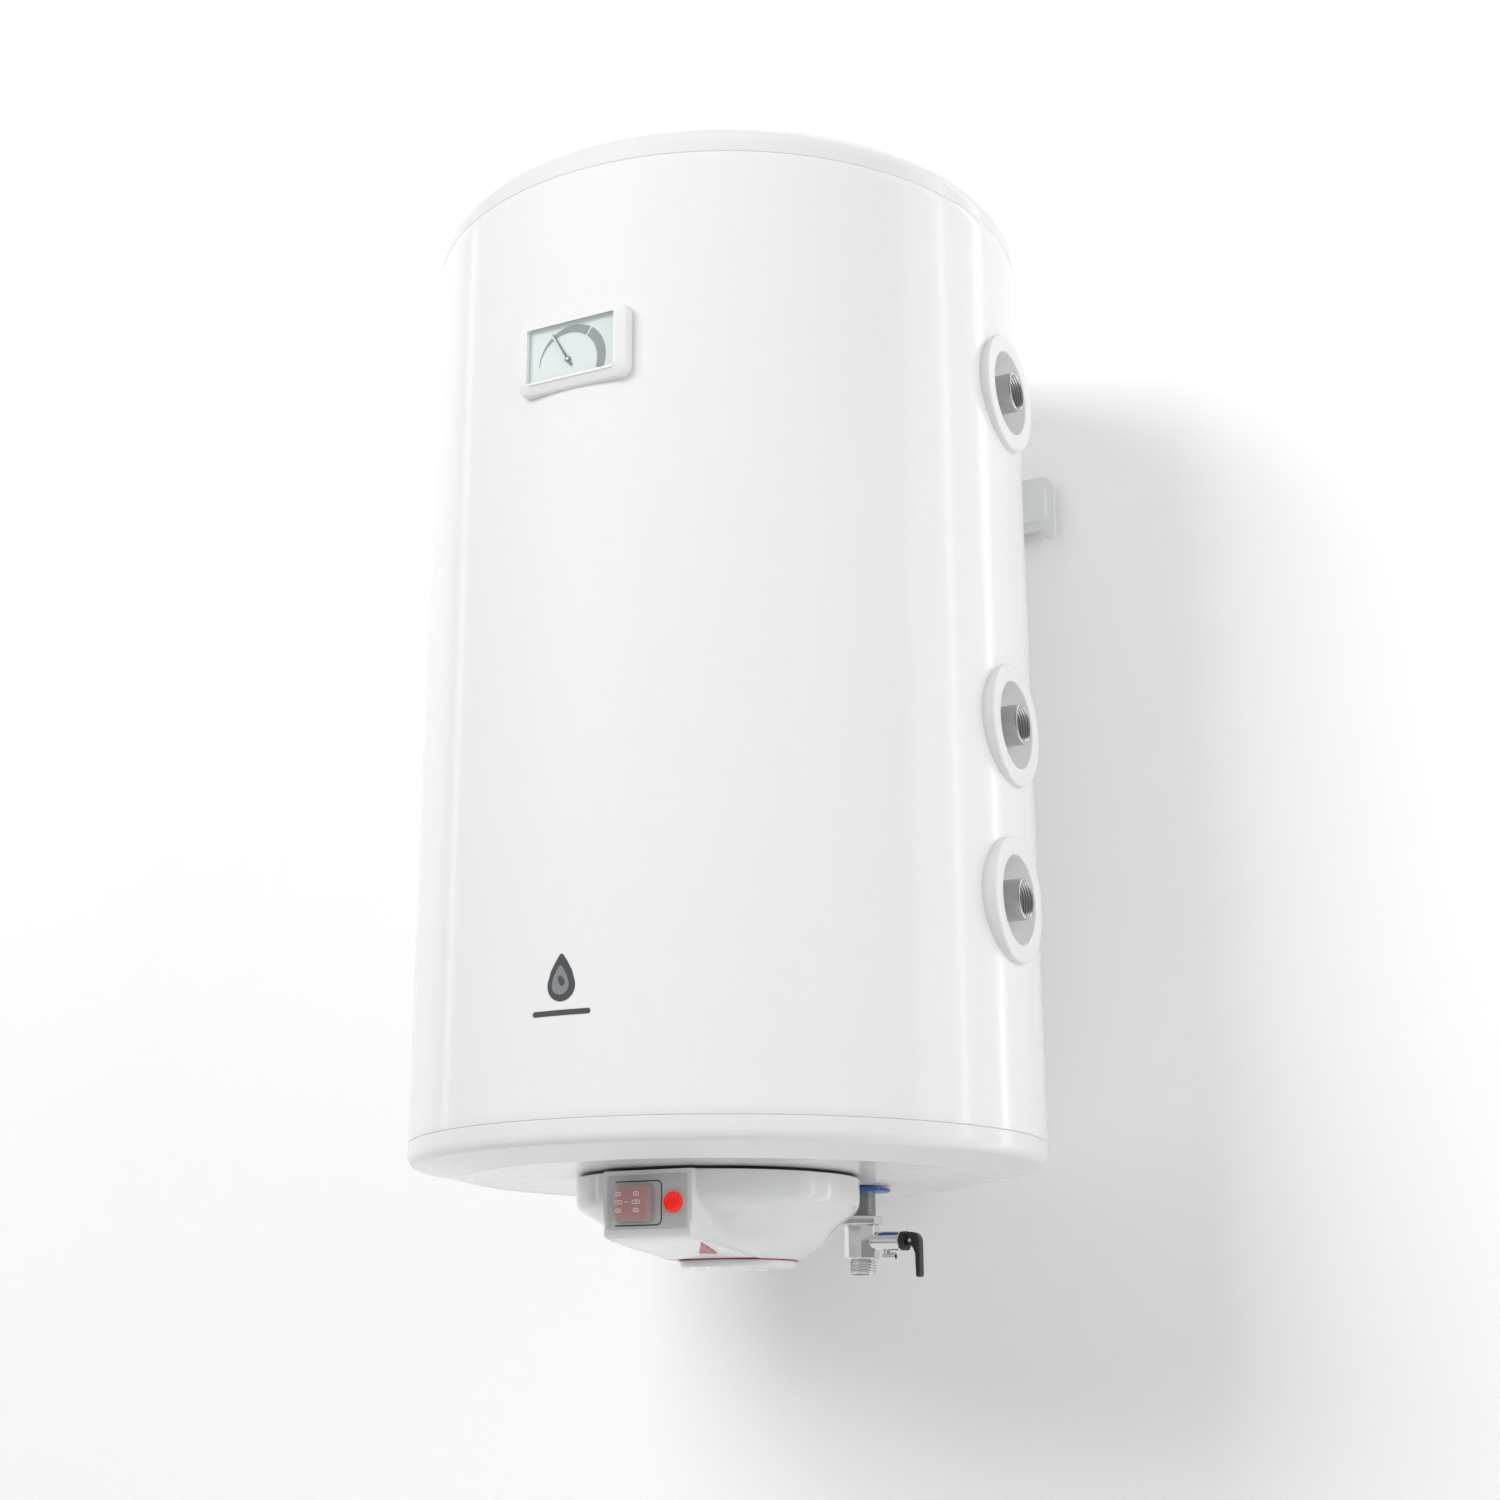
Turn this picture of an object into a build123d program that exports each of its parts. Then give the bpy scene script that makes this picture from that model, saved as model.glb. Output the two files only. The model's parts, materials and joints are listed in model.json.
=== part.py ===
"""Wall-hung tank water heater with a heat-exchanger coil, laid out as it comes apart on a bench.

Frame: millimetres, +Z up, -Y is the front and +X the side with the three pipe ports. The origin is on the
back face of the hanging bracket's plate, midway between its two anchor slots. The drum stands on its own
vertical axis in front of that, and its heights are counted from the lower edge of the steel jacket.
"""

import os
from math import asin, cos, degrees, pi, radians, sin

from build123d import *

os.makedirs("parts", exist_ok=True)

# Driving dimensions ----------------------------------------------------------------------------------

drum_radius = 220
jacket_height = 648
sheet = 1.0  # painted steel jacket
wall_gap = 27  # from the drum's back to the wall
hang_height = 531  # anchor slots above the jacket's lower edge

plastic = 2.5  # wall of the caps and covers
slip = 0.2  # clearance between pieces that slide together
seat = 0.05  # clearance between pieces that sit on each other's sides
foam_clear = 0.05  # foam stays this far from what it is poured round

top_straight = 7  # upright band of the top cap
top_round = 18  # its rounded shoulder
cap_straight = 9  # upright band of the bottom cap
spigot = 8  # how far the caps reach into the jacket
cone_top = 15  # depth at which the rounded edge of the bottom cap ends
crest_radius, crest_depth = drum_radius - 40, 22.2
dish_radius, dish_depth = drum_radius - 70, 20.6

tank_radius, tank_wall = drum_radius - 20, 2.0
tank_bottom, tank_top = 15, jacket_height - 15
dome_rise, knuckle = 38, 45

port_heights = {"recirculation": 526, "coil_flow": 275.5, "coil_return": 153}
port_offsets = {"recirculation": 10, "coil_flow": -1.5, "coil_return": -8}
port_reach = drum_radius + 9  # pipe ends, from the drum's axis
port_radius, port_bore, port_bore_depth = 14, 12.06, 22
collar_radius, collar_face, collar_mouth, collar_floor = 42.4, drum_radius + 4.5, 30, 21
cup_depth = 20

pipe_radius, pipe_bore = 10.48, 8  # over the thread, and inside
plain_radius, thread_top = 10.2, 26  # above the thread, which ends this far below the jacket
pipe_spacing, pipe_back = 100, 112
pipe_end = 52  # how far the two water pipes reach below the jacket

cover_radius, cover_back = 97, -14  # control cover, and where its centre lies from the drum's axis
cover_top = dish_depth + 2.1
step_radius, step_depth = 80, 54
knob_radius, knob_back, knob_top, knob_bottom = 40.5, 16, 76, 81
panel_front = 111.6
panel_width, panel_top, panel_bottom = 60, 22.7, 61.5
prow_width = 66

switch_x, switch_height = -8.5, -44
lamp_x, lamp_radius = 20, 6.75

bracket_half, bracket_height, bracket_sheet = 177, 46, 2.5
bracket_standoff = 12.5  # from the wall to the plate's back
anchor_spacing, anchor_width, anchor_length = 240, 12.5, 30

gauge_height = 512
dial_x, dial_height = -3, 505.5  # axle of its pointer
gauge_width, gauge_tall = 86, 54.5
gauge_front = drum_radius + 6  # front of its bezel, from the drum's axis

# Frame helpers ---------------------------------------------------------------------------------------

plate_back = drum_radius + wall_gap - bracket_standoff
axis_y = -plate_back
seam_z = -hang_height
drum_axis = Axis((0, axis_y, seam_z), (0, 0, 1))
profile = Plane(origin=(0, axis_y, seam_z), x_dir=(1, 0, 0), z_dir=(0, -1, 0))


def point(x, y, height):
    """A point given from the drum's axis and the jacket's lower edge."""
    return (x, axis_y + y, seam_z + height)


def level(height, x=0, y=0):
    """A horizontal plane facing up."""
    return Plane(origin=point(x, y, height))


def facing_front(x, y, height):
    """An upright plane facing the room: its own x runs along +X and its own y up."""
    return Plane(origin=point(x, y, height), x_dir=(1, 0, 0), z_dir=(0, -1, 0))


def facing_side(x, y, height):
    """An upright plane facing +X: its own x runs along +Y and its own y up."""
    return Plane(origin=point(x, y, height), x_dir=(0, 1, 0), z_dir=(1, 0, 0))


def upright_axis(x, y):
    return Axis(point(x, y, 0), (0, 0, 1))


def save(builder, name):
    """Names a finished piece and writes its file."""
    builder.part.label = name
    export_step(builder.part, f"parts/{name}.step")


# Tank ------------------------------------------------------------------------------------------------


def tank_outline(inset):
    """Half outline of the domed tank, drawn this far inside its outer surface."""
    radius = tank_radius - inset
    low, high = tank_bottom + inset, tank_top - inset
    half = radius * 0.55
    drop = dome_rise * 0.55**2
    with BuildSketch(profile) as outline:
        with BuildLine():
            Line((0, low), (0, high))
            ThreePointArc((0, high), (half, high - drop), (radius, high - dome_rise))
            Line((radius, high - dome_rise), (radius, low + dome_rise))
            ThreePointArc((radius, low + dome_rise), (half, low + drop), (0, low))
        make_face()
        fillet(outline.vertices().group_by(Axis.X)[-1], knuckle - inset)
    return outline.sketch


neck_radius, neck_bore = 50, 45
flange_radius, flange_pitch, flange_bolts = 66, 114, 6
flange_ring_top, ring_thick, gasket_thick, lid_thick = 2, 8, 3, 6
ring_low = flange_ring_top - ring_thick
gasket_low = ring_low - gasket_thick
lid_low = gasket_low - lid_thick
bolt_radius, bolt_hole = 4, 4.3
water_pipes = [(pipe_spacing / 2, pipe_back), (-pipe_spacing / 2, pipe_back)]

with BuildPart() as inner_tank:
    revolve(tank_outline(0), axis=drum_axis)
    with BuildSketch(level(flange_ring_top)):
        Circle(neck_radius)
    extrude(amount=40)
    revolve(tank_outline(tank_wall), axis=drum_axis, mode=Mode.SUBTRACT)
    with BuildSketch(level(0)):
        Circle(neck_bore)
    extrude(amount=60, mode=Mode.SUBTRACT)
    with BuildSketch(level(0)):
        for x, y in water_pipes:
            with Locations((x, y)):
                Circle(plain_radius + seat)
    extrude(amount=60, mode=Mode.SUBTRACT)
    for name, height in port_heights.items():
        with BuildSketch(facing_side(0, port_offsets[name], height)):
            Circle(port_radius + seat)
        extrude(amount=drum_radius, mode=Mode.SUBTRACT)
save(inner_tank, "inner_tank")

with BuildPart() as flange_ring:
    with BuildSketch(level(ring_low)):
        Circle(flange_radius)
        Circle(neck_bore, mode=Mode.SUBTRACT)
        with PolarLocations(flange_pitch / 2, flange_bolts):
            Circle(bolt_hole, mode=Mode.SUBTRACT)
    extrude(amount=ring_thick)
save(flange_ring, "flange_ring")

with BuildPart() as flange_gasket:
    with BuildSketch(level(gasket_low)):
        Circle(flange_radius - 2)
        Circle(neck_bore - 2, mode=Mode.SUBTRACT)
        with PolarLocations(flange_pitch / 2, flange_bolts):
            Circle(bolt_hole, mode=Mode.SUBTRACT)
    extrude(amount=gasket_thick)
save(flange_gasket, "flange_gasket")

element_radius, element_pitch, element_top = 4.2, 24, 300
element_rows = (-22, 22)
well_radius, well_top = 6, 290
anode_radius, anode_low, anode_top = 11, 70, 290
anode_stud = 4
anode_side = 31

with BuildPart() as flange_lid:
    with BuildSketch(level(lid_low)):
        Circle(flange_radius)
        with PolarLocations(flange_pitch / 2, flange_bolts):
            Circle(bolt_hole, mode=Mode.SUBTRACT)
        with Locations(*[(side * element_pitch / 2, y) for y in element_rows for side in (-1, 1)]):
            Circle(element_radius + seat, mode=Mode.SUBTRACT)
        Circle(well_radius + seat, mode=Mode.SUBTRACT)
        with Locations((-anode_side, 0)):
            Circle(anode_stud + seat, mode=Mode.SUBTRACT)
    extrude(amount=lid_thick)
save(flange_lid, "flange_lid")

with BuildPart() as flange_screws:
    with BuildSketch(level(lid_low)):
        with PolarLocations(flange_pitch / 2, flange_bolts):
            RegularPolygon(bolt_radius * 1.6, 6, major_radius=False)
    extrude(amount=-5)
    with BuildSketch(level(lid_low)):
        with PolarLocations(flange_pitch / 2, flange_bolts):
            Circle(bolt_radius)
    extrude(amount=lid_thick + gasket_thick + ring_thick)
save(flange_screws, "flange_screws")

with BuildPart() as heating_elements:
    for y in element_rows:
        half = element_pitch / 2
        with BuildLine(facing_front(0, y, 0)) as hairpin:
            Line((-half, lid_low - 8), (-half, element_top))
            ThreePointArc((-half, element_top), (0, element_top + half), (half, element_top))
            Line((half, element_top), (half, lid_low - 8))
        with BuildSketch(level(lid_low - 8, -half, y)):
            Circle(element_radius)
        sweep(path=hairpin.wires()[0])
save(heating_elements, "heating_elements")

with BuildPart() as thermowell:
    with BuildSketch(profile):
        with BuildLine():
            Polyline(
                (well_radius - 1, lid_low - 6),
                (well_radius, lid_low - 6),
                (well_radius, well_top),
                (0, well_top),
                (0, well_top - 1),
                (well_radius - 1, well_top - 1),
                close=True,
            )
        make_face()
    revolve(axis=drum_axis)
save(thermowell, "thermowell")

with BuildPart() as thermostat_bulb:
    with BuildSketch(level(120)):
        Circle(well_radius - 1.4)
    extrude(amount=110)
    with BuildSketch(level(lid_low - 10)):
        Circle(1)
    extrude(amount=120 - lid_low + 10)
save(thermostat_bulb, "thermostat_bulb")

with BuildPart() as magnesium_anode:
    with BuildSketch(level(anode_low, -anode_side, 0)):
        Circle(anode_radius)
    extrude(amount=anode_top - anode_low)
    fillet(edges().filter_by(GeomType.CIRCLE), 3)
    with BuildSketch(level(lid_low - 6, -anode_side, 0)):
        Circle(anode_stud)
    extrude(amount=anode_low - lid_low + 8)
    with BuildSketch(level(lid_low, -anode_side, 0)):
        RegularPolygon(6.5, 6, major_radius=False)
    extrude(amount=-6)
save(magnesium_anode, "magnesium_anode")

# Heat-exchanger coil: a helix whose two ends bend out into the ports

coil_radius, coil_tube, bend_radius = 145, 9, 35
joint_gap = 0.4
high_port, low_port = "coil_flow", "coil_return"
reach = coil_radius + bend_radius
start_angle = asin((bend_radius + port_offsets[low_port]) / reach)
end_angle = asin((port_offsets[high_port] - bend_radius) / reach)
rise = port_heights[high_port] - port_heights[low_port]
coil_turns = 4
turned = 2 * pi * coil_turns + end_angle - start_angle
coil_pitch = rise / turned * 2 * pi
tank_port_x = tank_radius - 6  # ports are welded through the tank wall here

with BuildPart() as heat_exchanger:
    spin = Location(point(0, 0, port_heights[low_port]), (0, 0, degrees(start_angle)))
    helix = spin * Helix(coil_pitch, rise, coil_radius)
    with BuildSketch(Plane(origin=helix @ 0, z_dir=helix % 0)):
        Circle(coil_tube)
    sweep(path=helix, is_frenet=True)
    for name, angle, side in ((high_port, end_angle, 1), (low_port, start_angle, -1)):
        centre_x, centre_y = reach * cos(angle), reach * sin(angle)
        first = (centre_x - bend_radius * cos(angle), centre_y - bend_radius * sin(angle))
        last = (centre_x, centre_y + side * bend_radius)
        half_way = (angle + pi + side * pi / 2 + (0 if side > 0 else 2 * pi)) / 2
        middle = (centre_x + bend_radius * cos(half_way), centre_y + bend_radius * sin(half_way))
        with BuildLine(level(port_heights[name])) as elbow:
            ThreePointArc(first, middle, last)
            Line(last, (tank_port_x, last[1]))
        trimmed = elbow.wires()[0].trim(joint_gap / elbow.wires()[0].length, 1)
        with BuildSketch(Plane(origin=trimmed @ 0, z_dir=trimmed % 0)):
            Circle(coil_tube)
        sweep(path=trimmed)
save(heat_exchanger, "heat_exchanger")

# Ports and collars on the side

for name, height in port_heights.items():
    offset_y = port_offsets[name]
    with BuildPart() as port:
        with BuildSketch(facing_side(tank_port_x, offset_y, height)):
            Circle(port_radius)
        extrude(amount=port_reach - tank_port_x)
        rim = edges().filter_by(GeomType.CIRCLE).sort_by(Axis.X)[-1]
        fillet(rim, 1.2)
        with BuildSketch(facing_side(port_reach, offset_y, height)):
            Circle(port_bore)
        extrude(amount=-port_bore_depth, mode=Mode.SUBTRACT)
        with BuildSketch(facing_side(port_reach, offset_y, height)):
            Circle(coil_tube - 2)
        extrude(amount=-2 * port_reach, mode=Mode.SUBTRACT)
    save(port, f"{name}_port")

    with BuildPart() as collar:
        with BuildSketch(facing_side(collar_face - cup_depth, offset_y, height)):
            Circle(collar_radius)
        extrude(amount=cup_depth)
        fillet(edges().filter_by(GeomType.CIRCLE).sort_by(Axis.X)[-1], 1.2)
        with BuildSketch(level(height - collar_radius - 1)):
            Circle(drum_radius + seat)
        extrude(amount=2 * collar_radius + 2, mode=Mode.SUBTRACT)
        with BuildSketch(facing_side(collar_face - cup_depth, offset_y, height)):
            Circle(collar_floor + plastic)
        with BuildSketch(facing_side(collar_face - 2, offset_y, height)):
            Circle(collar_mouth + plastic)
        loft()
        with BuildSketch(facing_side(collar_face - cup_depth + plastic, offset_y, height)):
            Circle(collar_floor)
        with BuildSketch(facing_side(collar_face + 0.01, offset_y, height)):
            Circle(collar_mouth)
        loft(mode=Mode.SUBTRACT)
        with BuildSketch(facing_side(collar_face - cup_depth, offset_y, height)):
            Circle(port_radius + slip)
        extrude(amount=cup_depth, mode=Mode.SUBTRACT)
        mouth = edges().filter_by(GeomType.CIRCLE).filter_by_position(
            Axis.X, collar_face - 0.1, collar_face + 0.1
        )
        fillet(mouth.sort_by(SortBy.RADIUS)[0], 1.5)
    save(collar, f"{name}_collar")

# Jacket and caps

gauge_pipe_radius = 5
stud_x, stud_radius = 45, 5
spacer_x, spacer_height, spacer_radius, spacer_stud = 60, 90, 15, 4

with BuildPart() as outer_jacket:
    with BuildSketch(level(0)):
        Circle(drum_radius)
        Circle(drum_radius - sheet, mode=Mode.SUBTRACT)
    extrude(amount=jacket_height)
    for name, height in port_heights.items():
        with BuildSketch(facing_side(0, port_offsets[name], height)):
            Circle(collar_mouth + plastic + 1)
        extrude(amount=drum_radius + 10, mode=Mode.SUBTRACT)
    with BuildSketch(facing_front(dial_x, 0, dial_height)):
        Circle(gauge_pipe_radius)
    extrude(amount=drum_radius + 10, mode=Mode.SUBTRACT)
    with BuildSketch(facing_front(0, 0, hang_height)):
        with Locations((-stud_x, 0), (stud_x, 0)):
            Circle(stud_radius + 1)
    extrude(amount=-drum_radius - 10, mode=Mode.SUBTRACT)
    with BuildSketch(facing_front(0, 0, spacer_height)):
        with Locations((-spacer_x, 0), (spacer_x, 0)):
            Circle(spacer_stud + slip)
    extrude(amount=-drum_radius - 10, mode=Mode.SUBTRACT)
save(outer_jacket, "outer_jacket")

spigot_radius = drum_radius - sheet - slip
top_shoulder = jacket_height + top_straight
top_flat = top_shoulder + top_round
shoulder_radius = drum_radius - top_round

with BuildPart() as top_cap:
    with BuildSketch(profile):
        with BuildLine():
            Line((0, top_flat), (shoulder_radius, top_flat))
            RadiusArc((shoulder_radius, top_flat), (drum_radius, top_shoulder), top_round)
            Polyline(
                (drum_radius, top_shoulder),
                (drum_radius, jacket_height),
                (spigot_radius, jacket_height),
                (spigot_radius, jacket_height - spigot),
                (spigot_radius - plastic, jacket_height - spigot),
                (spigot_radius - plastic, top_shoulder),
            )
            RadiusArc(
                (spigot_radius - plastic, top_shoulder),
                (shoulder_radius, top_flat - plastic),
                -(spigot_radius - plastic - shoulder_radius + top_round - plastic) / 2,
            )
            Line((shoulder_radius, top_flat - plastic), (0, top_flat - plastic))
            Line((0, top_flat - plastic), (0, top_flat))
        make_face()
    revolve(axis=drum_axis)
save(top_cap, "top_cap")

post_radius, screw_radius, head_radius = 6, 2, 3.7
post_floor, post_end = 41.5, 46.8  # seat of the screw heads, and the lower end of their posts
screw_circle = 84
screw_spots = [
    (screw_circle * cos(radians(turn)), cover_back + screw_circle * sin(radians(turn)))
    for turn in (42, 138)
]
boss_margin = 3  # boss of the bottom cap stands this far outside the control cover
boss_bore = 15  # rings on the water pipes sit on small bosses
access_radius = 72


def cover_outline(grow):
    """Plan outline of the control cover, grown by this much: a circle with a flat-fronted prow."""
    with Locations((0, cover_back)):
        Circle(cover_radius + grow)
    prow_deep = panel_front + grow + cover_back
    with Locations((0, cover_back - prow_deep / 2)):
        Rectangle(prow_width + 2 * grow, prow_deep)


with BuildPart() as bottom_cap:
    with BuildSketch(profile):
        with BuildLine():
            Line((0, -dish_depth), (dish_radius, -dish_depth))
            Line((dish_radius, -dish_depth), (crest_radius - 2, -crest_depth))
            ThreePointArc(
                (crest_radius - 2, -crest_depth),
                (crest_radius, -crest_depth - 0.2),
                (crest_radius + 2, -crest_depth + 0.2),
            )
            Line((crest_radius + 2, -crest_depth + 0.2), (drum_radius - 6.5, -cone_top))
            ThreePointArc(
                (drum_radius - 6.5, -cone_top),
                (drum_radius - 1.9, -cap_straight - 3.3),
                (drum_radius, -cap_straight),
            )
            Polyline(
                (drum_radius, -cap_straight),
                (drum_radius, 0),
                (spigot_radius, 0),
                (spigot_radius, spigot),
                (spigot_radius - plastic, spigot),
                (spigot_radius - plastic, -cap_straight),
                (drum_radius - 9, -cone_top + plastic),
                (crest_radius, -crest_depth + plastic),
                (dish_radius, -dish_depth + plastic),
                (0, -dish_depth + plastic),
                (0, -dish_depth),
            )
        make_face()
    revolve(axis=drum_axis)
    with BuildSketch(level(-cover_top + seat)):
        cover_outline(boss_margin)
    extrude(amount=cover_top - dish_depth + 1)
    with BuildSketch(level(-dish_depth - 1.5)):
        with Locations(*water_pipes):
            Circle(boss_bore)
    extrude(amount=plastic)
    with BuildSketch(level(-40)):
        Circle(access_radius)
        with Locations(*water_pipes):
            Circle(plain_radius + slip)
        with Locations(*screw_spots):
            Circle(screw_radius + seat)
    extrude(amount=40, mode=Mode.SUBTRACT)
save(bottom_cap, "bottom_cap")

with BuildPart() as insulation_foam:
    with BuildSketch(level(spigot + foam_clear)):
        Circle(drum_radius - sheet - foam_clear)
    extrude(amount=jacket_height - 2 * spigot - 2 * foam_clear)
    revolve(tank_outline(-foam_clear), axis=drum_axis, mode=Mode.SUBTRACT)
    with BuildSketch(level(0)):
        Circle(flange_radius + 4)
        with Locations(*water_pipes):
            Circle(plain_radius + foam_clear)
    extrude(amount=60, mode=Mode.SUBTRACT)
    for name, height in port_heights.items():
        with BuildSketch(facing_side(0, port_offsets[name], height)):
            Circle(collar_mouth + plastic + 1)
        extrude(amount=drum_radius, mode=Mode.SUBTRACT)
    with BuildSketch(facing_front(dial_x, 0, dial_height)):
        Circle(gauge_pipe_radius)
    extrude(amount=drum_radius, mode=Mode.SUBTRACT)
    with BuildSketch(facing_front(0, 0, hang_height)):
        with Locations((-stud_x, 0), (stud_x, 0)):
            Circle(stud_radius + foam_clear)
    extrude(amount=-drum_radius, mode=Mode.SUBTRACT)
    with BuildSketch(facing_front(0, 0, spacer_height)):
        with Locations((-spacer_x, 0), (spacer_x, 0)):
            Circle(spacer_stud + foam_clear)
    extrude(amount=-drum_radius, mode=Mode.SUBTRACT)
save(insulation_foam, "insulation_foam")

# Water pipes

diffuser_top = 90
outlet_top = jacket_height - 38
draw_radius = 9

with BuildPart() as cold_inlet_pipe:
    with BuildSketch(level(-pipe_end, pipe_spacing / 2, pipe_back)):
        Circle(plain_radius)
    extrude(amount=pipe_end + diffuser_top - 20)
    with BuildSketch(level(-pipe_end, pipe_spacing / 2, pipe_back)):
        Circle(pipe_bore)
    extrude(amount=pipe_end + diffuser_top, mode=Mode.SUBTRACT)
save(cold_inlet_pipe, "cold_inlet_pipe")

with BuildPart() as inlet_diffuser:
    with BuildSketch(level(diffuser_top - 35, pipe_spacing / 2, pipe_back)):
        Circle(pipe_bore - seat)
    extrude(amount=35)
    with BuildSketch(level(diffuser_top - 19.9, pipe_spacing / 2, pipe_back)):
        Circle(pipe_radius + 2)
    extrude(amount=20)
    with BuildSketch(level(diffuser_top - 40, pipe_spacing / 2, pipe_back)):
        Circle(pipe_bore - 2)
    extrude(amount=36, mode=Mode.SUBTRACT)
    with BuildSketch(facing_side(0, pipe_back, diffuser_top - 11)):
        Rectangle(9, 8)
    extrude(amount=drum_radius, mode=Mode.SUBTRACT)
    with BuildSketch(facing_front(pipe_spacing / 2, 0, diffuser_top - 11)):
        Rectangle(9, 8)
    extrude(amount=-drum_radius, mode=Mode.SUBTRACT)
save(inlet_diffuser, "inlet_diffuser")

with BuildPart() as hot_outlet_pipe:
    with BuildSketch(level(-pipe_end, -pipe_spacing / 2, pipe_back)):
        Circle(pipe_radius)
    extrude(amount=pipe_end - thread_top)
    with BuildSketch(level(-thread_top, -pipe_spacing / 2, pipe_back)):
        Circle(plain_radius)
    extrude(amount=thread_top + 60)
    with BuildSketch(level(0, -pipe_spacing / 2, pipe_back)):
        Circle(draw_radius)
    extrude(amount=outlet_top)
    with BuildSketch(level(-pipe_end, -pipe_spacing / 2, pipe_back)):
        Circle(pipe_bore)
    extrude(amount=pipe_end + outlet_top, mode=Mode.SUBTRACT)
save(hot_outlet_pipe, "hot_outlet_pipe")

ring_radius, ring_height = 21, 2.2
for name, side in (("cold_ring", 1), ("hot_ring", -1)):
    with BuildPart() as ring:
        with BuildSketch(level(-dish_depth - 1.5, side * pipe_spacing / 2, pipe_back)):
            Circle(ring_radius)
            Circle(plain_radius + seat, mode=Mode.SUBTRACT)
        extrude(amount=-ring_height)
    save(ring, name)

# Hanging bracket, its studs and nuts, and the lower spacers

bracket_corner, tongue_width, tongue_drop = 12, 9, 8.5
pad_rise, pad_margin = 1.5, 6.5
pad_front = plate_back - bracket_sheet - pad_rise

with BuildPart() as wall_bracket:
    with BuildSketch(facing_front(0, plate_back, hang_height)):
        RectangleRounded(2 * bracket_half, bracket_height, bracket_corner)
        for side in (-1, 1):
            with Locations((side * (bracket_half - tongue_width / 2), -bracket_height / 2)):
                Rectangle(tongue_width, 2 * tongue_drop - tongue_width)
            with Locations(
                (
                    side * (bracket_half - tongue_width / 2),
                    tongue_width / 2 - bracket_height / 2 - tongue_drop,
                )
            ):
                Circle(tongue_width / 2)
    extrude(amount=bracket_sheet)
    with BuildSketch(facing_front(0, plate_back - bracket_sheet, hang_height)):
        RectangleRounded(2 * (bracket_half - pad_margin), bracket_height - 2 * pad_margin, 7)
    extrude(amount=pad_rise, taper=35)
    with BuildSketch(level(hang_height + bracket_height / 2, 0, plate_back + bracket_standoff / 2 - 0.5)):
        Rectangle(2 * (bracket_half - bracket_corner), bracket_standoff + 1)
    extrude(amount=-bracket_sheet)
    with BuildSketch(facing_front(0, plate_back, hang_height)):
        with Locations((-anchor_spacing / 2, 0), (anchor_spacing / 2, 0)):
            SlotOverall(anchor_length, anchor_width)
        with Locations((-stud_x, 0), (stud_x, 0)):
            Circle(stud_radius + slip)
    extrude(amount=4 * bracket_sheet, both=True, mode=Mode.SUBTRACT)
save(wall_bracket, "wall_bracket")

stud_root = tank_radius * cos(asin((stud_x + stud_radius + 3) / tank_radius))
sleeve_radius = 9
jacket_back = drum_radius * cos(asin((stud_x - sleeve_radius) / drum_radius))
nut_height = 5

with BuildPart() as bracket_studs:
    with BuildSketch(facing_front(0, plate_back + 8, hang_height)):
        with Locations((-stud_x, 0), (stud_x, 0)):
            Circle(stud_radius)
    extrude(amount=plate_back + 8 - stud_root + 4)
    with BuildSketch(facing_front(0, pad_front, hang_height)):
        with Locations((-stud_x, 0), (stud_x, 0)):
            Circle(sleeve_radius)
    extrude(amount=pad_front - jacket_back - seat)
    with BuildSketch(level(0)):
        Circle(tank_radius + seat)
    extrude(amount=jacket_height, mode=Mode.SUBTRACT)
save(bracket_studs, "bracket_studs")

with BuildPart() as bracket_nuts:
    with BuildSketch(facing_front(0, plate_back, hang_height)):
        with Locations((-stud_x, 0), (stud_x, 0)):
            RegularPolygon(8, 6, major_radius=False)
            Circle(stud_radius + seat, mode=Mode.SUBTRACT)
    extrude(amount=-nut_height)
save(bracket_nuts, "bracket_nuts")

with BuildPart() as wall_spacers:
    with BuildSketch(facing_front(0, drum_radius + wall_gap, spacer_height)):
        with Locations((-spacer_x, 0), (spacer_x, 0)):
            Circle(spacer_radius)
    extrude(amount=wall_gap + 20)
    with BuildSketch(level(0)):
        Circle(drum_radius + seat)
    extrude(amount=jacket_height, mode=Mode.SUBTRACT)
    with BuildSketch(facing_front(0, drum_radius, spacer_height)):
        with Locations((-spacer_x, 0), (spacer_x, 0)):
            Circle(spacer_stud)
    extrude(amount=15)
save(wall_spacers, "wall_spacers")

# Control cover: upper band, stepped waist, rounded belly that leans back to the knob

waist = [(step_radius, step_depth, cover_back), (75, 61.5, -11), (63, 69, -2), (knob_radius + 3, 75, 13)]


def cover_body(inset, combine):
    """The control cover's form, drawn this far inside its outer surface."""
    band, ledge = cover_radius - inset, step_radius - inset
    top = -cover_top + (1 if inset else 0)
    with BuildSketch(Plane(origin=point(0, cover_back, 0), x_dir=(1, 0, 0), z_dir=(0, -1, 0))) as side:
        with BuildLine():
            Polyline((0, top), (band, top), (band, -37))
            if inset:
                Polyline((band, -37), (band - 2, -42.6), (band - 6.5, -46.2), (ledge, -step_depth))
            else:
                ThreePointArc((band, -37), (band - 1.8, -42.6), (band - 6.5, -46.2))
                ThreePointArc((band - 6.5, -46.2), (ledge + 3.5, -49.6), (ledge, -step_depth))
            Polyline((ledge, -step_depth), (0, -step_depth), (0, top))
        make_face()
    revolve(side.sketch, axis=upright_axis(0, cover_back), mode=combine)
    sections = []
    for radius, depth, back in waist:
        with BuildSketch(level(-depth + (inset if depth > step_depth else 0), 0, back)) as section:
            Circle(radius - inset)
        sections.append(section.sketch)
    loft(sections, ruled=True, mode=combine)


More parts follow.
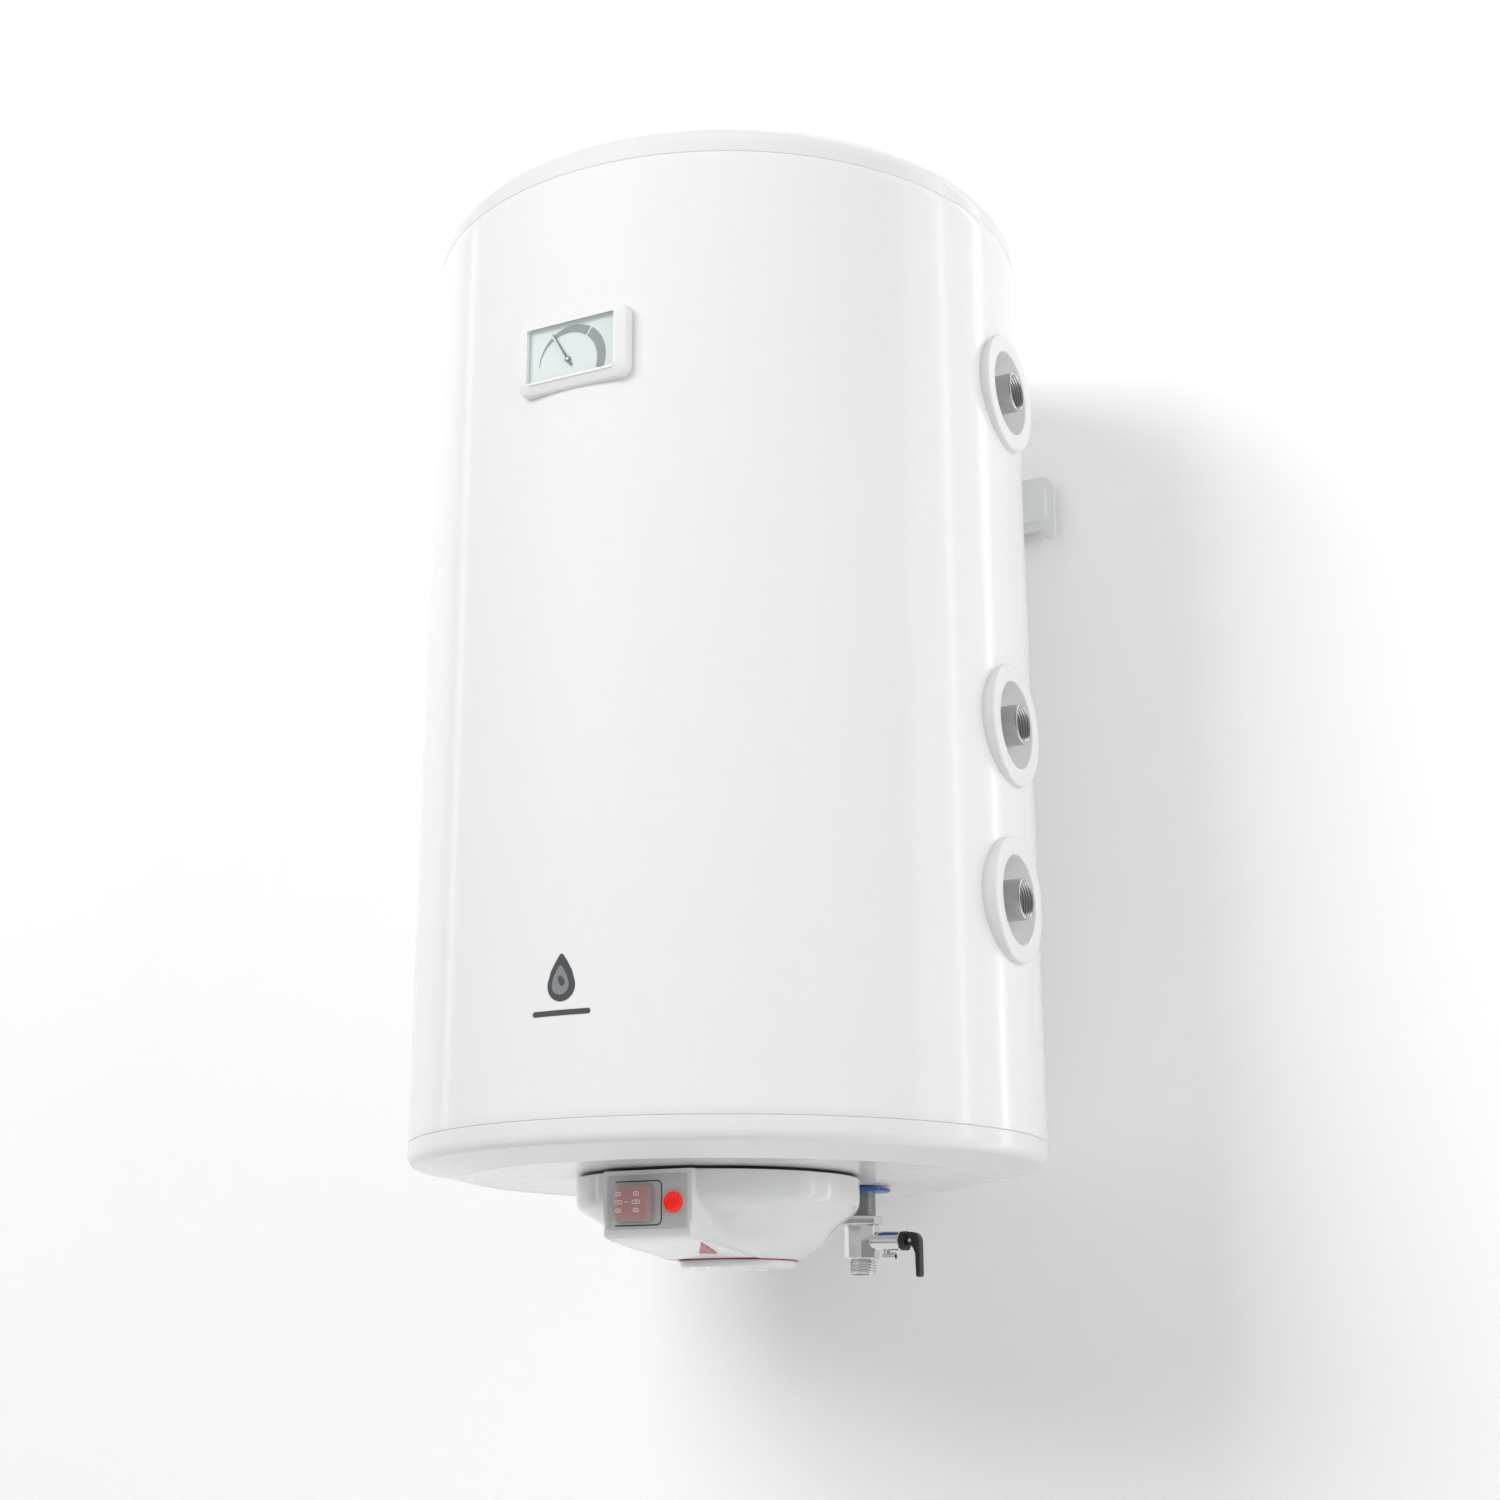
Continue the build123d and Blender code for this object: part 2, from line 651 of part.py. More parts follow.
def prow(inset):
    """Side outline of the part that carries the control panel, for extruding across."""
    front = -panel_front + inset
    top = -cover_top + (1 if inset else 0)
    with BuildSketch(facing_side(-prow_width / 2 + inset, 0, 0)) as outline:
        with BuildLine():
            Polyline(
                (front, top),
                (front, -panel_bottom - 3 + inset),
                (front + 10, -panel_bottom - 6 + inset),
                (-40, -73 + 2 * inset),
                (-40, top),
                close=True,
            )
        make_face()
    return outline.sketch


panel_centre = -(panel_top + panel_bottom) / 2 - 1
panel_tall = panel_bottom - panel_top - 4
hub_radius = 9
gland_height, gland_radius, gland_bore = -32, 6.5, 4.2
cover_rear = cover_back + cover_radius

with BuildPart() as control_cover:
    cover_body(0, Mode.ADD)
    extrude(prow(0), amount=prow_width)
    cover_body(plastic, Mode.SUBTRACT)
    extrude(prow(plastic), amount=prow_width - 2 * plastic, mode=Mode.SUBTRACT)
    with BuildSketch(level(-post_end)):
        with Locations(*screw_spots):
            Circle(post_radius)
    extrude(amount=post_end - cover_top)
    with BuildSketch(level(-post_floor - plastic)):
        with Locations(*screw_spots):
            Circle(head_radius + 0.6)
    extrude(amount=-20, mode=Mode.SUBTRACT)
    with BuildSketch(level(-post_floor - plastic)):
        with Locations(*screw_spots):
            Circle(screw_radius + slip)
    extrude(amount=40, mode=Mode.SUBTRACT)
    with BuildSketch(facing_front(0, -panel_front, panel_centre)):
        RectangleRounded(panel_width, panel_tall, 2)
    extrude(amount=-10, mode=Mode.SUBTRACT)
    with BuildSketch(level(-90, 0, knob_back)):
        Circle(hub_radius + slip)
    extrude(amount=40, mode=Mode.SUBTRACT)
    with BuildSketch(facing_front(0, cover_rear + 5, gland_height)):
        Circle(gland_radius + seat)
    extrude(amount=20, mode=Mode.SUBTRACT)
save(control_cover, "control_cover")

with BuildPart() as cover_screws:
    with BuildSketch(level(-post_floor - plastic - 3)):
        with Locations(*screw_spots):
            Circle(head_radius)
    extrude(amount=3)
    fillet(edges().filter_by(GeomType.CIRCLE).group_by(Axis.Z)[0], 1)
    with BuildSketch(level(-post_floor - plastic)):
        with Locations(*screw_spots):
            Circle(screw_radius)
    extrude(amount=post_floor + plastic - dish_depth + plastic + 3)
save(cover_screws, "cover_screws")

with BuildPart() as cable_gland:
    with BuildSketch(facing_front(0, cover_rear + 3, gland_height)):
        Circle(gland_radius + 1.6)
        Circle(gland_bore, mode=Mode.SUBTRACT)
    extrude(amount=3 - seat)
    with BuildSketch(level(gland_height - 20, 0, cover_back)):
        Circle(cover_radius + seat)
    extrude(amount=40, mode=Mode.SUBTRACT)
    with BuildSketch(facing_front(0, cover_rear + 1, gland_height)):
        Circle(gland_radius)
        Circle(gland_bore, mode=Mode.SUBTRACT)
    extrude(amount=10)
save(cable_gland, "cable_gland")

# Control panel, rocker switch and pilot lamp

panel_thick = 2.5
switch_width, switch_tall, switch_deep = 26.6, 23, 24
frame_wall, groove, groove_deep = 1.1, 1.0, 1.0
frame_left, frame_right, frame_low, frame_high = -28, 11.5, -58.4, -29.5

with BuildPart() as control_panel:
    with BuildSketch(facing_front(0, -panel_front, panel_centre)):
        RectangleRounded(panel_width - 2 * seat, panel_tall - 2 * seat, 2)
    extrude(amount=-panel_thick)
    with BuildSketch(facing_front(0, -panel_front, 0)):
        with Locations((switch_x, switch_height)):
            Rectangle(switch_width + 2 * seat, switch_tall + 2 * seat)
        with Locations((lamp_x, switch_height)):
            Circle(lamp_radius - 1.5)
    extrude(amount=-panel_thick, mode=Mode.SUBTRACT)
    frame_middle = ((frame_left + frame_right) / 2, (frame_low + frame_high) / 2)
    frame_size = (frame_right - frame_left, frame_high - frame_low)
    with BuildSketch(facing_front(0, -panel_front, 0)):
        with Locations(frame_middle):
            RectangleRounded(*frame_size, 4)
            RectangleRounded(frame_size[0] - 2 * groove, frame_size[1] - 2 * groove, 3, mode=Mode.SUBTRACT)
        with Locations((frame_left, frame_middle[1])):
            Rectangle(9, frame_size[1], mode=Mode.SUBTRACT)
    extrude(amount=-groove_deep, mode=Mode.SUBTRACT)
save(control_panel, "control_panel")

pivot_deep = 3  # rocker's axle behind the panel's front
axle_radius, running = 1.5, 0.05

with BuildPart() as switch_body:
    with BuildSketch(facing_front(switch_x, -panel_front, switch_height)):
        Rectangle(switch_width, switch_tall)
    extrude(amount=-switch_deep)
    with BuildSketch(facing_front(switch_x, -panel_front, switch_height)):
        Rectangle(switch_width - 2 * frame_wall, switch_tall - 2 * frame_wall)
    extrude(amount=-15, mode=Mode.SUBTRACT)
    with BuildSketch(level(switch_height, switch_x, -panel_front + pivot_deep)):
        Circle(axle_radius + running)
    extrude(amount=switch_tall, both=True, mode=Mode.SUBTRACT)
    with BuildSketch(facing_front(switch_x, -panel_front + switch_deep, switch_height)):
        with GridLocations(8, 12, 3, 2):
            Rectangle(0.8, 4.8)
    extrude(amount=-8)
save(switch_body, "switch_body")

hood_proud, hood_wall = 8.8, 1.0
hood_width, hood_tall = switch_width + 1, switch_tall + 1.6

with BuildPart() as switch_hood:
    with BuildSketch(facing_front(switch_x, -panel_front, switch_height)):
        RectangleRounded(hood_width, hood_tall, 3)
    extrude(amount=hood_proud)
    fillet(faces().sort_by(Axis.Y)[0].edges(), 1.5)
    with BuildSketch(facing_front(switch_x, -panel_front, switch_height)):
        RectangleRounded(hood_width - 2 * hood_wall, hood_tall - 2 * hood_wall, 2)
    extrude(amount=hood_proud - hood_wall, mode=Mode.SUBTRACT)
save(switch_hood, "switch_hood")

rocker_half, rocker_tall, rocker_front, rocker_back = 11.2, 20, 8.2, 6
rocker_tilt = 9  # the pressed end and the raised end swap over twice this angle

with BuildPart() as rocker:
    tilted = level(switch_height - rocker_tall / 2, switch_x, -panel_front + pivot_deep).rotated(
        (0, 0, -rocker_tilt)
    )
    with BuildSketch(tilted):
        with BuildLine():
            Polyline(
                (-rocker_half, -rocker_front),
                (0, -rocker_front + 1),
                (rocker_half, -rocker_front),
                (rocker_half - 1.5, 0),
                (4, rocker_back),
                (-4, rocker_back),
                (1.5 - rocker_half, 0),
                close=True,
            )
        make_face()
    extrude(amount=rocker_tall)
    front_edges = edges().filter_by(Axis.Z).group_by(Axis.Y)
    fillet(front_edges[0] + front_edges[2], 0.8)
    with BuildSketch(tilted):
        Circle(axle_radius)
    extrude(amount=rocker_tall + 0.8)
    with BuildSketch(tilted):
        Circle(axle_radius)
    extrude(amount=-0.8)
save(rocker, "rocker")

lens_proud = 3.5

with BuildPart() as lamp_lens:
    with BuildSketch(facing_front(lamp_x, -panel_front, switch_height)):
        Circle(lamp_radius)
    extrude(amount=lens_proud)
    fillet(edges().filter_by(GeomType.CIRCLE).sort_by(Axis.Y)[0], 2.4)
    with BuildSketch(facing_front(lamp_x, -panel_front, switch_height)):
        Circle(lamp_radius - 1.5 - seat)
    extrude(amount=-4)
    with BuildSketch(facing_front(lamp_x, -panel_front + 4, switch_height)):
        Circle(lamp_radius - 2.7)
    extrude(amount=5.5, mode=Mode.SUBTRACT)
save(lamp_lens, "lamp_lens")

with BuildPart() as lamp_body:
    with BuildSketch(facing_front(lamp_x, -panel_front + 4, switch_height)):
        Circle(lamp_radius - 1.5 - seat)
    extrude(amount=-14)
    with BuildSketch(facing_front(lamp_x, -panel_front + 4, switch_height)):
        Circle(lamp_radius - 3)
    extrude(amount=4)
save(lamp_body, "lamp_body")

# Thermostat, its knob, and the parts beside it

thermostat_width, thermostat_length, thermostat_top, thermostat_base = 42, 36, 36, 54
shaft_radius, shaft_engage = 3, 8
knob_socket = 12

with BuildPart() as thermostat_body:
    with BuildSketch(level(-thermostat_base, 0, knob_back)):
        RectangleRounded(thermostat_width, thermostat_length, 3)
    extrude(amount=thermostat_base - thermostat_top)
    with BuildSketch(level(-thermostat_base - 2, 0, knob_back)):
        Circle(shaft_radius + 2.5)
    extrude(amount=4)
    with BuildSketch(level(-thermostat_base - 2, 0, knob_back)):
        Circle(shaft_radius + running)
    extrude(amount=shaft_engage + 2, mode=Mode.SUBTRACT)
    with BuildSketch(level(-thermostat_top, 0, knob_back)):
        with GridLocations(10, 22, 3, 2):
            Rectangle(0.8, 6.3)
    extrude(amount=7)
save(thermostat_body, "thermostat_body")

socket_top = knob_top - 6
shaft_end = socket_top + knob_socket - 2

with BuildPart() as thermostat_shaft:
    with BuildSketch(level(-thermostat_base + shaft_engage - 0.5, 0, knob_back)):
        Circle(shaft_radius)
    extrude(amount=-shaft_end + thermostat_base - shaft_engage + 0.5)
    with BuildSketch(level(-socket_top, 0, knob_back)):
        with Locations((0, shaft_radius)):
            Rectangle(2 * shaft_radius, 2)
    extrude(amount=-knob_socket, mode=Mode.SUBTRACT)
save(thermostat_shaft, "thermostat_shaft")

with BuildPart() as thermostat_knob:
    with BuildSketch(level(-knob_bottom, 0, knob_back)):
        Circle(knob_radius)
    extrude(amount=knob_bottom - knob_top)
    fillet(edges().filter_by(GeomType.CIRCLE).sort_by(Axis.Z)[0], 3.5)
    with BuildSketch(level(-knob_top, 0, knob_back)):
        Circle(hub_radius)
    extrude(amount=knob_top - socket_top)
    with BuildSketch(level(-socket_top, 0, knob_back)):
        Circle(shaft_radius + seat)
        with Locations((0, shaft_radius)):
            Rectangle(2 * shaft_radius + 1, 2 - 2 * seat, mode=Mode.SUBTRACT)
    extrude(amount=-knob_socket + 2 - seat, mode=Mode.SUBTRACT)
save(thermostat_knob, "thermostat_knob")

with BuildPart() as knob_ring:
    with BuildSketch(level(-knob_top, 0, knob_back)):
        Circle(knob_radius + 1)
        Circle(knob_radius - 4, mode=Mode.SUBTRACT)
    extrude(amount=0.6)
save(knob_ring, "knob_ring")

cutout_x, cutout_y, terminal_x, terminal_y = 40, 22, -40, 30

with BuildPart() as safety_cutout:
    with BuildSketch(level(-28, cutout_x, cutout_y)):
        Circle(9)
    extrude(amount=-9)
    with BuildSketch(level(-37, cutout_x, cutout_y)):
        RectangleRounded(24, 14, 2)
    extrude(amount=-6)
    with BuildSketch(level(-43, cutout_x, cutout_y)):
        with GridLocations(14, 1, 2, 1):
            Rectangle(0.8, 6.3)
    extrude(amount=-5)
save(safety_cutout, "safety_cutout")

with BuildPart() as terminal_block:
    with BuildSketch(level(-29, terminal_x, terminal_y)):
        Rectangle(30, 18)
    extrude(amount=-13)
    with BuildSketch(level(-42, terminal_x, terminal_y)):
        with GridLocations(9.5, 9, 3, 2):
            Circle(2.6)
    extrude(amount=5, mode=Mode.SUBTRACT)
save(terminal_block, "terminal_block")

# Dial thermometer on the drum's front

gauge_corner, gauge_bevel = 9, 5
window_width, window_tall = 68, 42.5
gauge_floor, dial_front, pointer_back, lens_back = [drum_radius + d for d in (1.3, 2.1, 2.7, 4.6)]
pointer_thick, pointer_length, pointer_tail, pointer_width = 0.5, 24, 5.5, 1.6
pointer_rest = 120  # degrees from +X, turning up
pin_radius = 0.9

with BuildPart() as gauge_bezel:
    with BuildSketch(facing_front(0, -gauge_front, gauge_height)):
        RectangleRounded(gauge_width, gauge_tall, gauge_corner)
    extrude(amount=-14)
    chamfer(faces().sort_by(Axis.Y)[0].edges(), 3, gauge_bevel)
    with BuildSketch(level(gauge_height - gauge_tall / 2 - 1)):
        Circle(drum_radius + seat)
    extrude(amount=gauge_tall + 2, mode=Mode.SUBTRACT)
    with BuildSketch(facing_front(0, -gauge_front, gauge_height)):
        RectangleRounded(window_width, window_tall, 3)
    extrude(amount=gauge_floor - gauge_front, mode=Mode.SUBTRACT)
    with BuildSketch(facing_front(dial_x, -gauge_front, dial_height)):
        Circle(pin_radius + seat)
    extrude(amount=-14, mode=Mode.SUBTRACT)
save(gauge_bezel, "gauge_bezel")

with BuildPart() as gauge_dial:
    with BuildSketch(facing_front(0, -gauge_floor, gauge_height)):
        RectangleRounded(window_width - 2 * seat, window_tall - 2 * seat, 3)
        with Locations((dial_x, dial_height - gauge_height)):
            Circle(pin_radius + slip, mode=Mode.SUBTRACT)
    extrude(amount=dial_front - gauge_floor)
save(gauge_dial, "gauge_dial")

with BuildPart() as gauge_lens:
    with BuildSketch(facing_front(0, -lens_back, gauge_height)):
        RectangleRounded(window_width - 2 * seat, window_tall - 2 * seat, 3)
    extrude(amount=gauge_front - lens_back - 0.2)
save(gauge_lens, "gauge_lens")

with BuildPart() as gauge_pin:
    with BuildSketch(facing_front(dial_x, -pointer_back - pointer_thick - 0.4, dial_height)):
        Circle(pin_radius)
    extrude(amount=-14)
    with BuildSketch(facing_front(dial_x, -pointer_back - pointer_thick - 0.05, dial_height)):
        Circle(pin_radius + 0.9)
    extrude(amount=0.5)
save(gauge_pin, "gauge_pin")

with BuildPart() as gauge_pointer:
    turn = radians(pointer_rest)
    hub = point(dial_x, -pointer_back, dial_height)
    dial_plane = Plane(origin=hub, x_dir=(cos(turn), 0, sin(turn)), z_dir=(0, -1, 0))
    with BuildSketch(dial_plane):
        with BuildLine():
            Polyline(
                (-pointer_tail, -pointer_width / 2),
                (pointer_length, -0.3),
                (pointer_length, 0.3),
                (-pointer_tail, pointer_width / 2),
                close=True,
            )
        make_face()
        Circle(2.2)
        Circle(pin_radius + running, mode=Mode.SUBTRACT)
    extrude(amount=pointer_thick)
save(gauge_pointer, "gauge_pointer")

with BuildPart() as gauge_probe:
    with BuildSketch(facing_front(dial_x, -drum_radius + 1.5, dial_height)):
        Circle(gauge_pipe_radius - 1)
        Circle(pin_radius + seat, mode=Mode.SUBTRACT)
    extrude(amount=-(drum_radius - tank_radius - 2))
save(gauge_probe, "gauge_probe")

# Badge: a drop above a short bar, following the jacket

badge_height, badge_width, badge_tall, badge_thick = 87, 20, 30, 0.3
bar_drop, bar_width, bar_tall = 22, 42, 3.4

with BuildPart() as badge:
    with BuildSketch(level(badge_height - 40)):
        Circle(drum_radius + badge_thick)
        Circle(drum_radius, mode=Mode.SUBTRACT)
    extrude(amount=80)
    lobe = badge_width / 2
    with BuildSketch(facing_front(0, -drum_radius - 3, badge_height)):
        with Locations((0, lobe - badge_tall / 2)):
            Circle(lobe)
        with BuildLine():
            Polyline(
                (0, badge_tall / 2),
                (-lobe * 0.92, lobe * 1.38 - badge_tall / 2),
                (lobe * 0.92, lobe * 1.38 - badge_tall / 2),
                close=True,
            )
        make_face()
        with Locations((0, -bar_drop)):
            SlotOverall(bar_width, bar_tall)
    extrude(amount=-20, mode=Mode.INTERSECT)
save(badge, "badge")

# Safety valve on the cold pipe

valve_x, valve_y, branch_height = pipe_spacing / 2, pipe_back, -59.5
hex_top, hex_low, hex_across = 41.5, 47.5, 27
body_low, body_across, thread_low = 71.7, 23.4, 82.6
valve_seat, seat_bore, valve_bore, outlet_bore = 64, 5, 7.5, 6.5
branch_radius, branch_bore, branch_start, branch_end = 6.75, 4.8, 15, 31
orifice = 2.2
drain_height, drain_radius, drain_start, drain_tip, drain_end = -70.1, 2.8, 17, 22.6, 26.5


def along_branch(distance, height=branch_height):
    """An upright plane facing +X, this far from the valve's own axis."""
    return facing_side(valve_x + distance, valve_y, height)


with BuildPart() as valve_body:
    with BuildSketch(level(-hex_low, valve_x, valve_y)):
        RegularPolygon(hex_across / 2, 6, major_radius=False)
    extrude(amount=hex_low - hex_top)
    with BuildSketch(level(-body_low, valve_x, valve_y)):
        RegularPolygon(body_across / 2, 8, major_radius=False, rotation=22.5)
    extrude(amount=body_low - hex_low)
    with BuildSketch(level(-thread_low, valve_x, valve_y)):
        Circle(pipe_radius)
    extrude(amount=thread_low - body_low)
    with BuildSketch(along_branch(0)):
        Circle(branch_radius)
    extrude(amount=branch_end)
    with BuildSketch(along_branch(drain_start, drain_height)):
        Circle(drain_radius - 0.2)
    extrude(amount=drain_end - drain_start)
    with BuildSketch(along_branch(drain_tip, drain_height)):
        Circle(drain_radius)
    extrude(amount=drain_end - drain_tip)
    with BuildSketch(level(drain_height, valve_x + drain_start + 3, valve_y)):
        Circle(drain_radius - 0.4)
    extrude(amount=6)
    with BuildSketch(level(-hex_top, valve_x, valve_y)):
        Circle(plain_radius + seat)
    extrude(amount=hex_top - pipe_end - 1, mode=Mode.SUBTRACT)
    with BuildSketch(level(-pipe_end, valve_x, valve_y)):
        Circle(valve_bore)
    extrude(amount=pipe_end - valve_seat, mode=Mode.SUBTRACT)
    with BuildSketch(level(-pipe_end, valve_x, valve_y)):
        Circle(seat_bore)
    extrude(amount=-30, mode=Mode.SUBTRACT)
    with BuildSketch(level(-valve_seat - 2, valve_x, valve_y)):
        Circle(outlet_bore)
    extrude(amount=-30, mode=Mode.SUBTRACT)
    with BuildSketch(along_branch(0)):
        Circle(orifice)
    extrude(amount=branch_end, mode=Mode.SUBTRACT)
    with BuildSketch(along_branch(branch_start)):
        Circle(branch_bore)
    extrude(amount=branch_end, mode=Mode.SUBTRACT)
    with BuildSketch(along_branch(drain_start + 1.5, drain_height)):
        Circle(drain_radius - 1)
    extrude(amount=drain_end, mode=Mode.SUBTRACT)
    with BuildSketch(level(drain_height, valve_x + drain_start + 3, valve_y)):
        Circle(drain_radius - 1.2)
    extrude(amount=branch_height - drain_height - 2, mode=Mode.SUBTRACT)
save(valve_body, "valve_body")

guide_hole, guide_thick = 1.5, 0.95
poppet_stem, poppet_radius, poppet_thick = 1.4, 6.4, 1.6

with BuildPart() as check_guide:
    with BuildSketch(level(-pipe_end - seat, valve_x, valve_y)):
        Circle(plain_radius)
        Circle(guide_hole, mode=Mode.SUBTRACT)
        with PolarLocations(4.6, 4):
            Circle(2, mode=Mode.SUBTRACT)
    extrude(amount=-guide_thick + seat)
save(check_guide, "check_guide")

with BuildPart() as check_poppet:
    with BuildSketch(level(-valve_seat + 0.05, valve_x, valve_y)):
        Circle(poppet_radius)
    extrude(amount=poppet_thick)
    with BuildSketch(level(-valve_seat + 0.05, valve_x, valve_y)):
        Circle(poppet_stem)
    extrude(amount=valve_seat - pipe_end + 1)
save(check_poppet, "check_poppet")

poppet_top = -valve_seat + 0.05 + poppet_thick
check_spring_wire = 0.35

with BuildPart() as check_spring:
    spring_room = -pipe_end - guide_thick - poppet_top
    turns = 5
    pitch = (spring_room - 2 * check_spring_wire - 0.1) / turns
    coil = Location(point(valve_x, valve_y, poppet_top + check_spring_wire + 0.05)) * Helix(
        pitch, pitch * turns, 2.4
    )
    with BuildSketch(Plane(origin=coil @ 0, z_dir=coil % 0)):
        Circle(check_spring_wire)
    sweep(path=coil, is_frenet=True)
save(check_spring, "check_spring")

cap_start, cap_end, pin_distance = 27, 44, 40
stem_radius, disc_radius, disc_thick, stem_end = 1.3, 4.2, 2, 36.3
hinge_radius, hub_round, lever_half = 1.2, 6, 4.2
lever_gap = 0.3

with BuildPart() as relief_cap:
    with BuildSketch(along_branch(cap_start)):
        Circle(branch_bore - seat)
    extrude(amount=branch_end - cap_start + 1)
    with BuildSketch(along_branch(branch_end + seat)):
        Circle(branch_radius)
    extrude(amount=cap_end - branch_end)
    with BuildSketch(along_branch(cap_start)):
        Circle(stem_radius + running)
    extrude(amount=cap_end, mode=Mode.SUBTRACT)
    with BuildSketch(facing_front(valve_x + pin_distance, valve_y, branch_height)):
        Circle(hub_round + lever_gap)
        with Locations((hub_round, 0)):
            Rectangle(2 * hub_round, 4 * hub_round)
    extrude(amount=lever_half + slip, both=True, mode=Mode.SUBTRACT)
    with BuildSketch(facing_front(valve_x + pin_distance, valve_y, branch_height)):
        Circle(hinge_radius + seat)
    extrude(amount=10, both=True, mode=Mode.SUBTRACT)
save(relief_cap, "relief_cap")

with BuildPart() as relief_stem:
    with BuildSketch(along_branch(branch_start + 0.05)):
        Circle(disc_radius)
    extrude(amount=disc_thick)
    with BuildSketch(along_branch(branch_start + 0.05)):
        Circle(stem_radius)
    extrude(amount=stem_end - branch_start)
save(relief_stem, "relief_stem")

relief_wire = 0.6

with BuildPart() as relief_spring:
    spring_start = branch_start + 0.1 + disc_thick + relief_wire
    spring_room = cap_start - spring_start - relief_wire - 0.1
    coil = Location(point(valve_x + spring_start, valve_y, branch_height), (0, 90, 0)) * Helix(
        spring_room / 5, spring_room, 3.2
    )
    with BuildSketch(Plane(origin=coil @ 0, z_dir=coil % 0)):
        Circle(relief_wire)
    sweep(path=coil, is_frenet=True)
save(relief_spring, "relief_spring")

with BuildPart() as lever_pin:
    with BuildSketch(facing_front(valve_x + pin_distance, valve_y, branch_height)):
        Circle(hinge_radius)
    extrude(amount=branch_radius - 0.4, both=True)
save(lever_pin, "lever_pin")

arm_tip, arm_outer, arm_root, arm_thick = 25.5, 6.3, 1.8, 2.9

with BuildPart() as relief_lever:
    with BuildSketch(facing_front(valve_x + pin_distance, valve_y, branch_height)):
        Circle(hub_round)
        with BuildLine():
            Polyline(
                (hub_round - 1.5, 2.5),
                (hub_round, 0),
                (arm_outer, -8),
                (arm_outer, -arm_tip + 1.5),
                (arm_outer - 1.2, -arm_tip),
                (arm_outer - arm_thick, -arm_tip + 0.6),
                (arm_root, -5.5),
                (0, -3),
                close=True,
            )
        make_face()
    extrude(amount=lever_half, both=True)
    with BuildSketch(facing_front(valve_x + pin_distance, valve_y, branch_height)):
        with Locations((stem_radius + 0.6, -stem_radius - 0.6)):
            Rectangle(3 * hub_round, 3 * hub_round, align=(Align.MAX, Align.MIN))
    extrude(amount=stem_radius + 0.6, both=True, mode=Mode.SUBTRACT)
    with BuildSketch(facing_front(valve_x + pin_distance, valve_y, branch_height)):
        Circle(hinge_radius + running)
    extrude(amount=10, both=True, mode=Mode.SUBTRACT)
save(relief_lever, "relief_lever")
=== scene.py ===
import json
from math import atan2, cos, degrees, exp, hypot, pi, radians, sin, sqrt

import bmesh
import bpy
from mathutils import Matrix, Vector


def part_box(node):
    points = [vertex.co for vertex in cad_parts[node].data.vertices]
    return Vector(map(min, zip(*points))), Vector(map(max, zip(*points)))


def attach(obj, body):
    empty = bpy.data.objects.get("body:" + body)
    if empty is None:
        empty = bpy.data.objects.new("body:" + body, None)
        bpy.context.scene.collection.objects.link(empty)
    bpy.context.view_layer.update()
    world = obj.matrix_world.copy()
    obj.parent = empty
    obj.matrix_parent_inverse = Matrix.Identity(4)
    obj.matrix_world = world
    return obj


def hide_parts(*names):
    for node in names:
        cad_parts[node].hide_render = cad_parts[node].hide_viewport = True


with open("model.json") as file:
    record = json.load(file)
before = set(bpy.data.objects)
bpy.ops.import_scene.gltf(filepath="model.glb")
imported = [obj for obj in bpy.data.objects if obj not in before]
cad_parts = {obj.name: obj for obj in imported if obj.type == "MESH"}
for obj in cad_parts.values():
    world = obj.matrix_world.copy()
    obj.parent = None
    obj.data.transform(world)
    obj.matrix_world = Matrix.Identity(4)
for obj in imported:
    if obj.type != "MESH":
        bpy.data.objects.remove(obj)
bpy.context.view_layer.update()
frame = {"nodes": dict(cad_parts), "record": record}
nodes = frame["nodes"]
mm = 0.001

# the drum's own axis and the jacket's lower edge; everything below is placed from these
jacketLow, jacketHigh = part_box("outer_jacket")
drumX = (jacketLow.x + jacketHigh.x) / 2
drumY = jacketLow.y + (jacketHigh.x - jacketLow.x) / 2
seamZ = jacketLow.z
drumRadius = (jacketHigh.x - jacketLow.x) / 2 / mm
jacketTall = (jacketHigh.z - jacketLow.z) / mm
toRow = Matrix.Translation((drumX, drumY, seamZ)) @ Matrix.Scale(mm, 4)


def local(node):
    # a CAD node's box in millimetres from the drum's axis and the jacket's lower edge
    return [toRow.inverted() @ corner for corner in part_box(node)]


def linear(hexColour):
    # sRGB hex to the linear values that shaders use
    parts = [int(hexColour[i : i + 2], 16) / 255 for i in (1, 3, 5)]
    return tuple(c / 12.92 if c <= 0.04045 else ((c + 0.055) / 1.055) ** 2.4 for c in parts) + (1.0,)


def arc(x, y, radius, start, end, steps):
    # points along an arc, angles in degrees
    turns = [radians(start + (end - start) * i / steps) for i in range(steps + 1)]
    return [(x + radius * cos(t), y + radius * sin(t)) for t in turns]


def circle(x, y, radius, steps):
    return arc(x, y, radius, 0, 360, steps)[:-1]


def rounded(width, tall, radius, x=0, y=0, steps=6):
    # outline of a rounded rectangle
    points = []
    for sideX, sideY, start in ((1, 1, 0), (-1, 1, 90), (-1, -1, 180), (1, -1, 270)):
        cornerX, cornerY = x + sideX * (width / 2 - radius), y + sideY * (tall / 2 - radius)
        points += arc(cornerX, cornerY, radius, start, start + 90, steps)
    return points


def lozenge(long, wide, x=0, y=0, steps=8):
    # outline of a strip with round ends
    r = wide / 2
    return arc(x + long / 2 - r, y, r, -90, 90, steps) + arc(x + r - long / 2, y, r, 90, 270, steps)


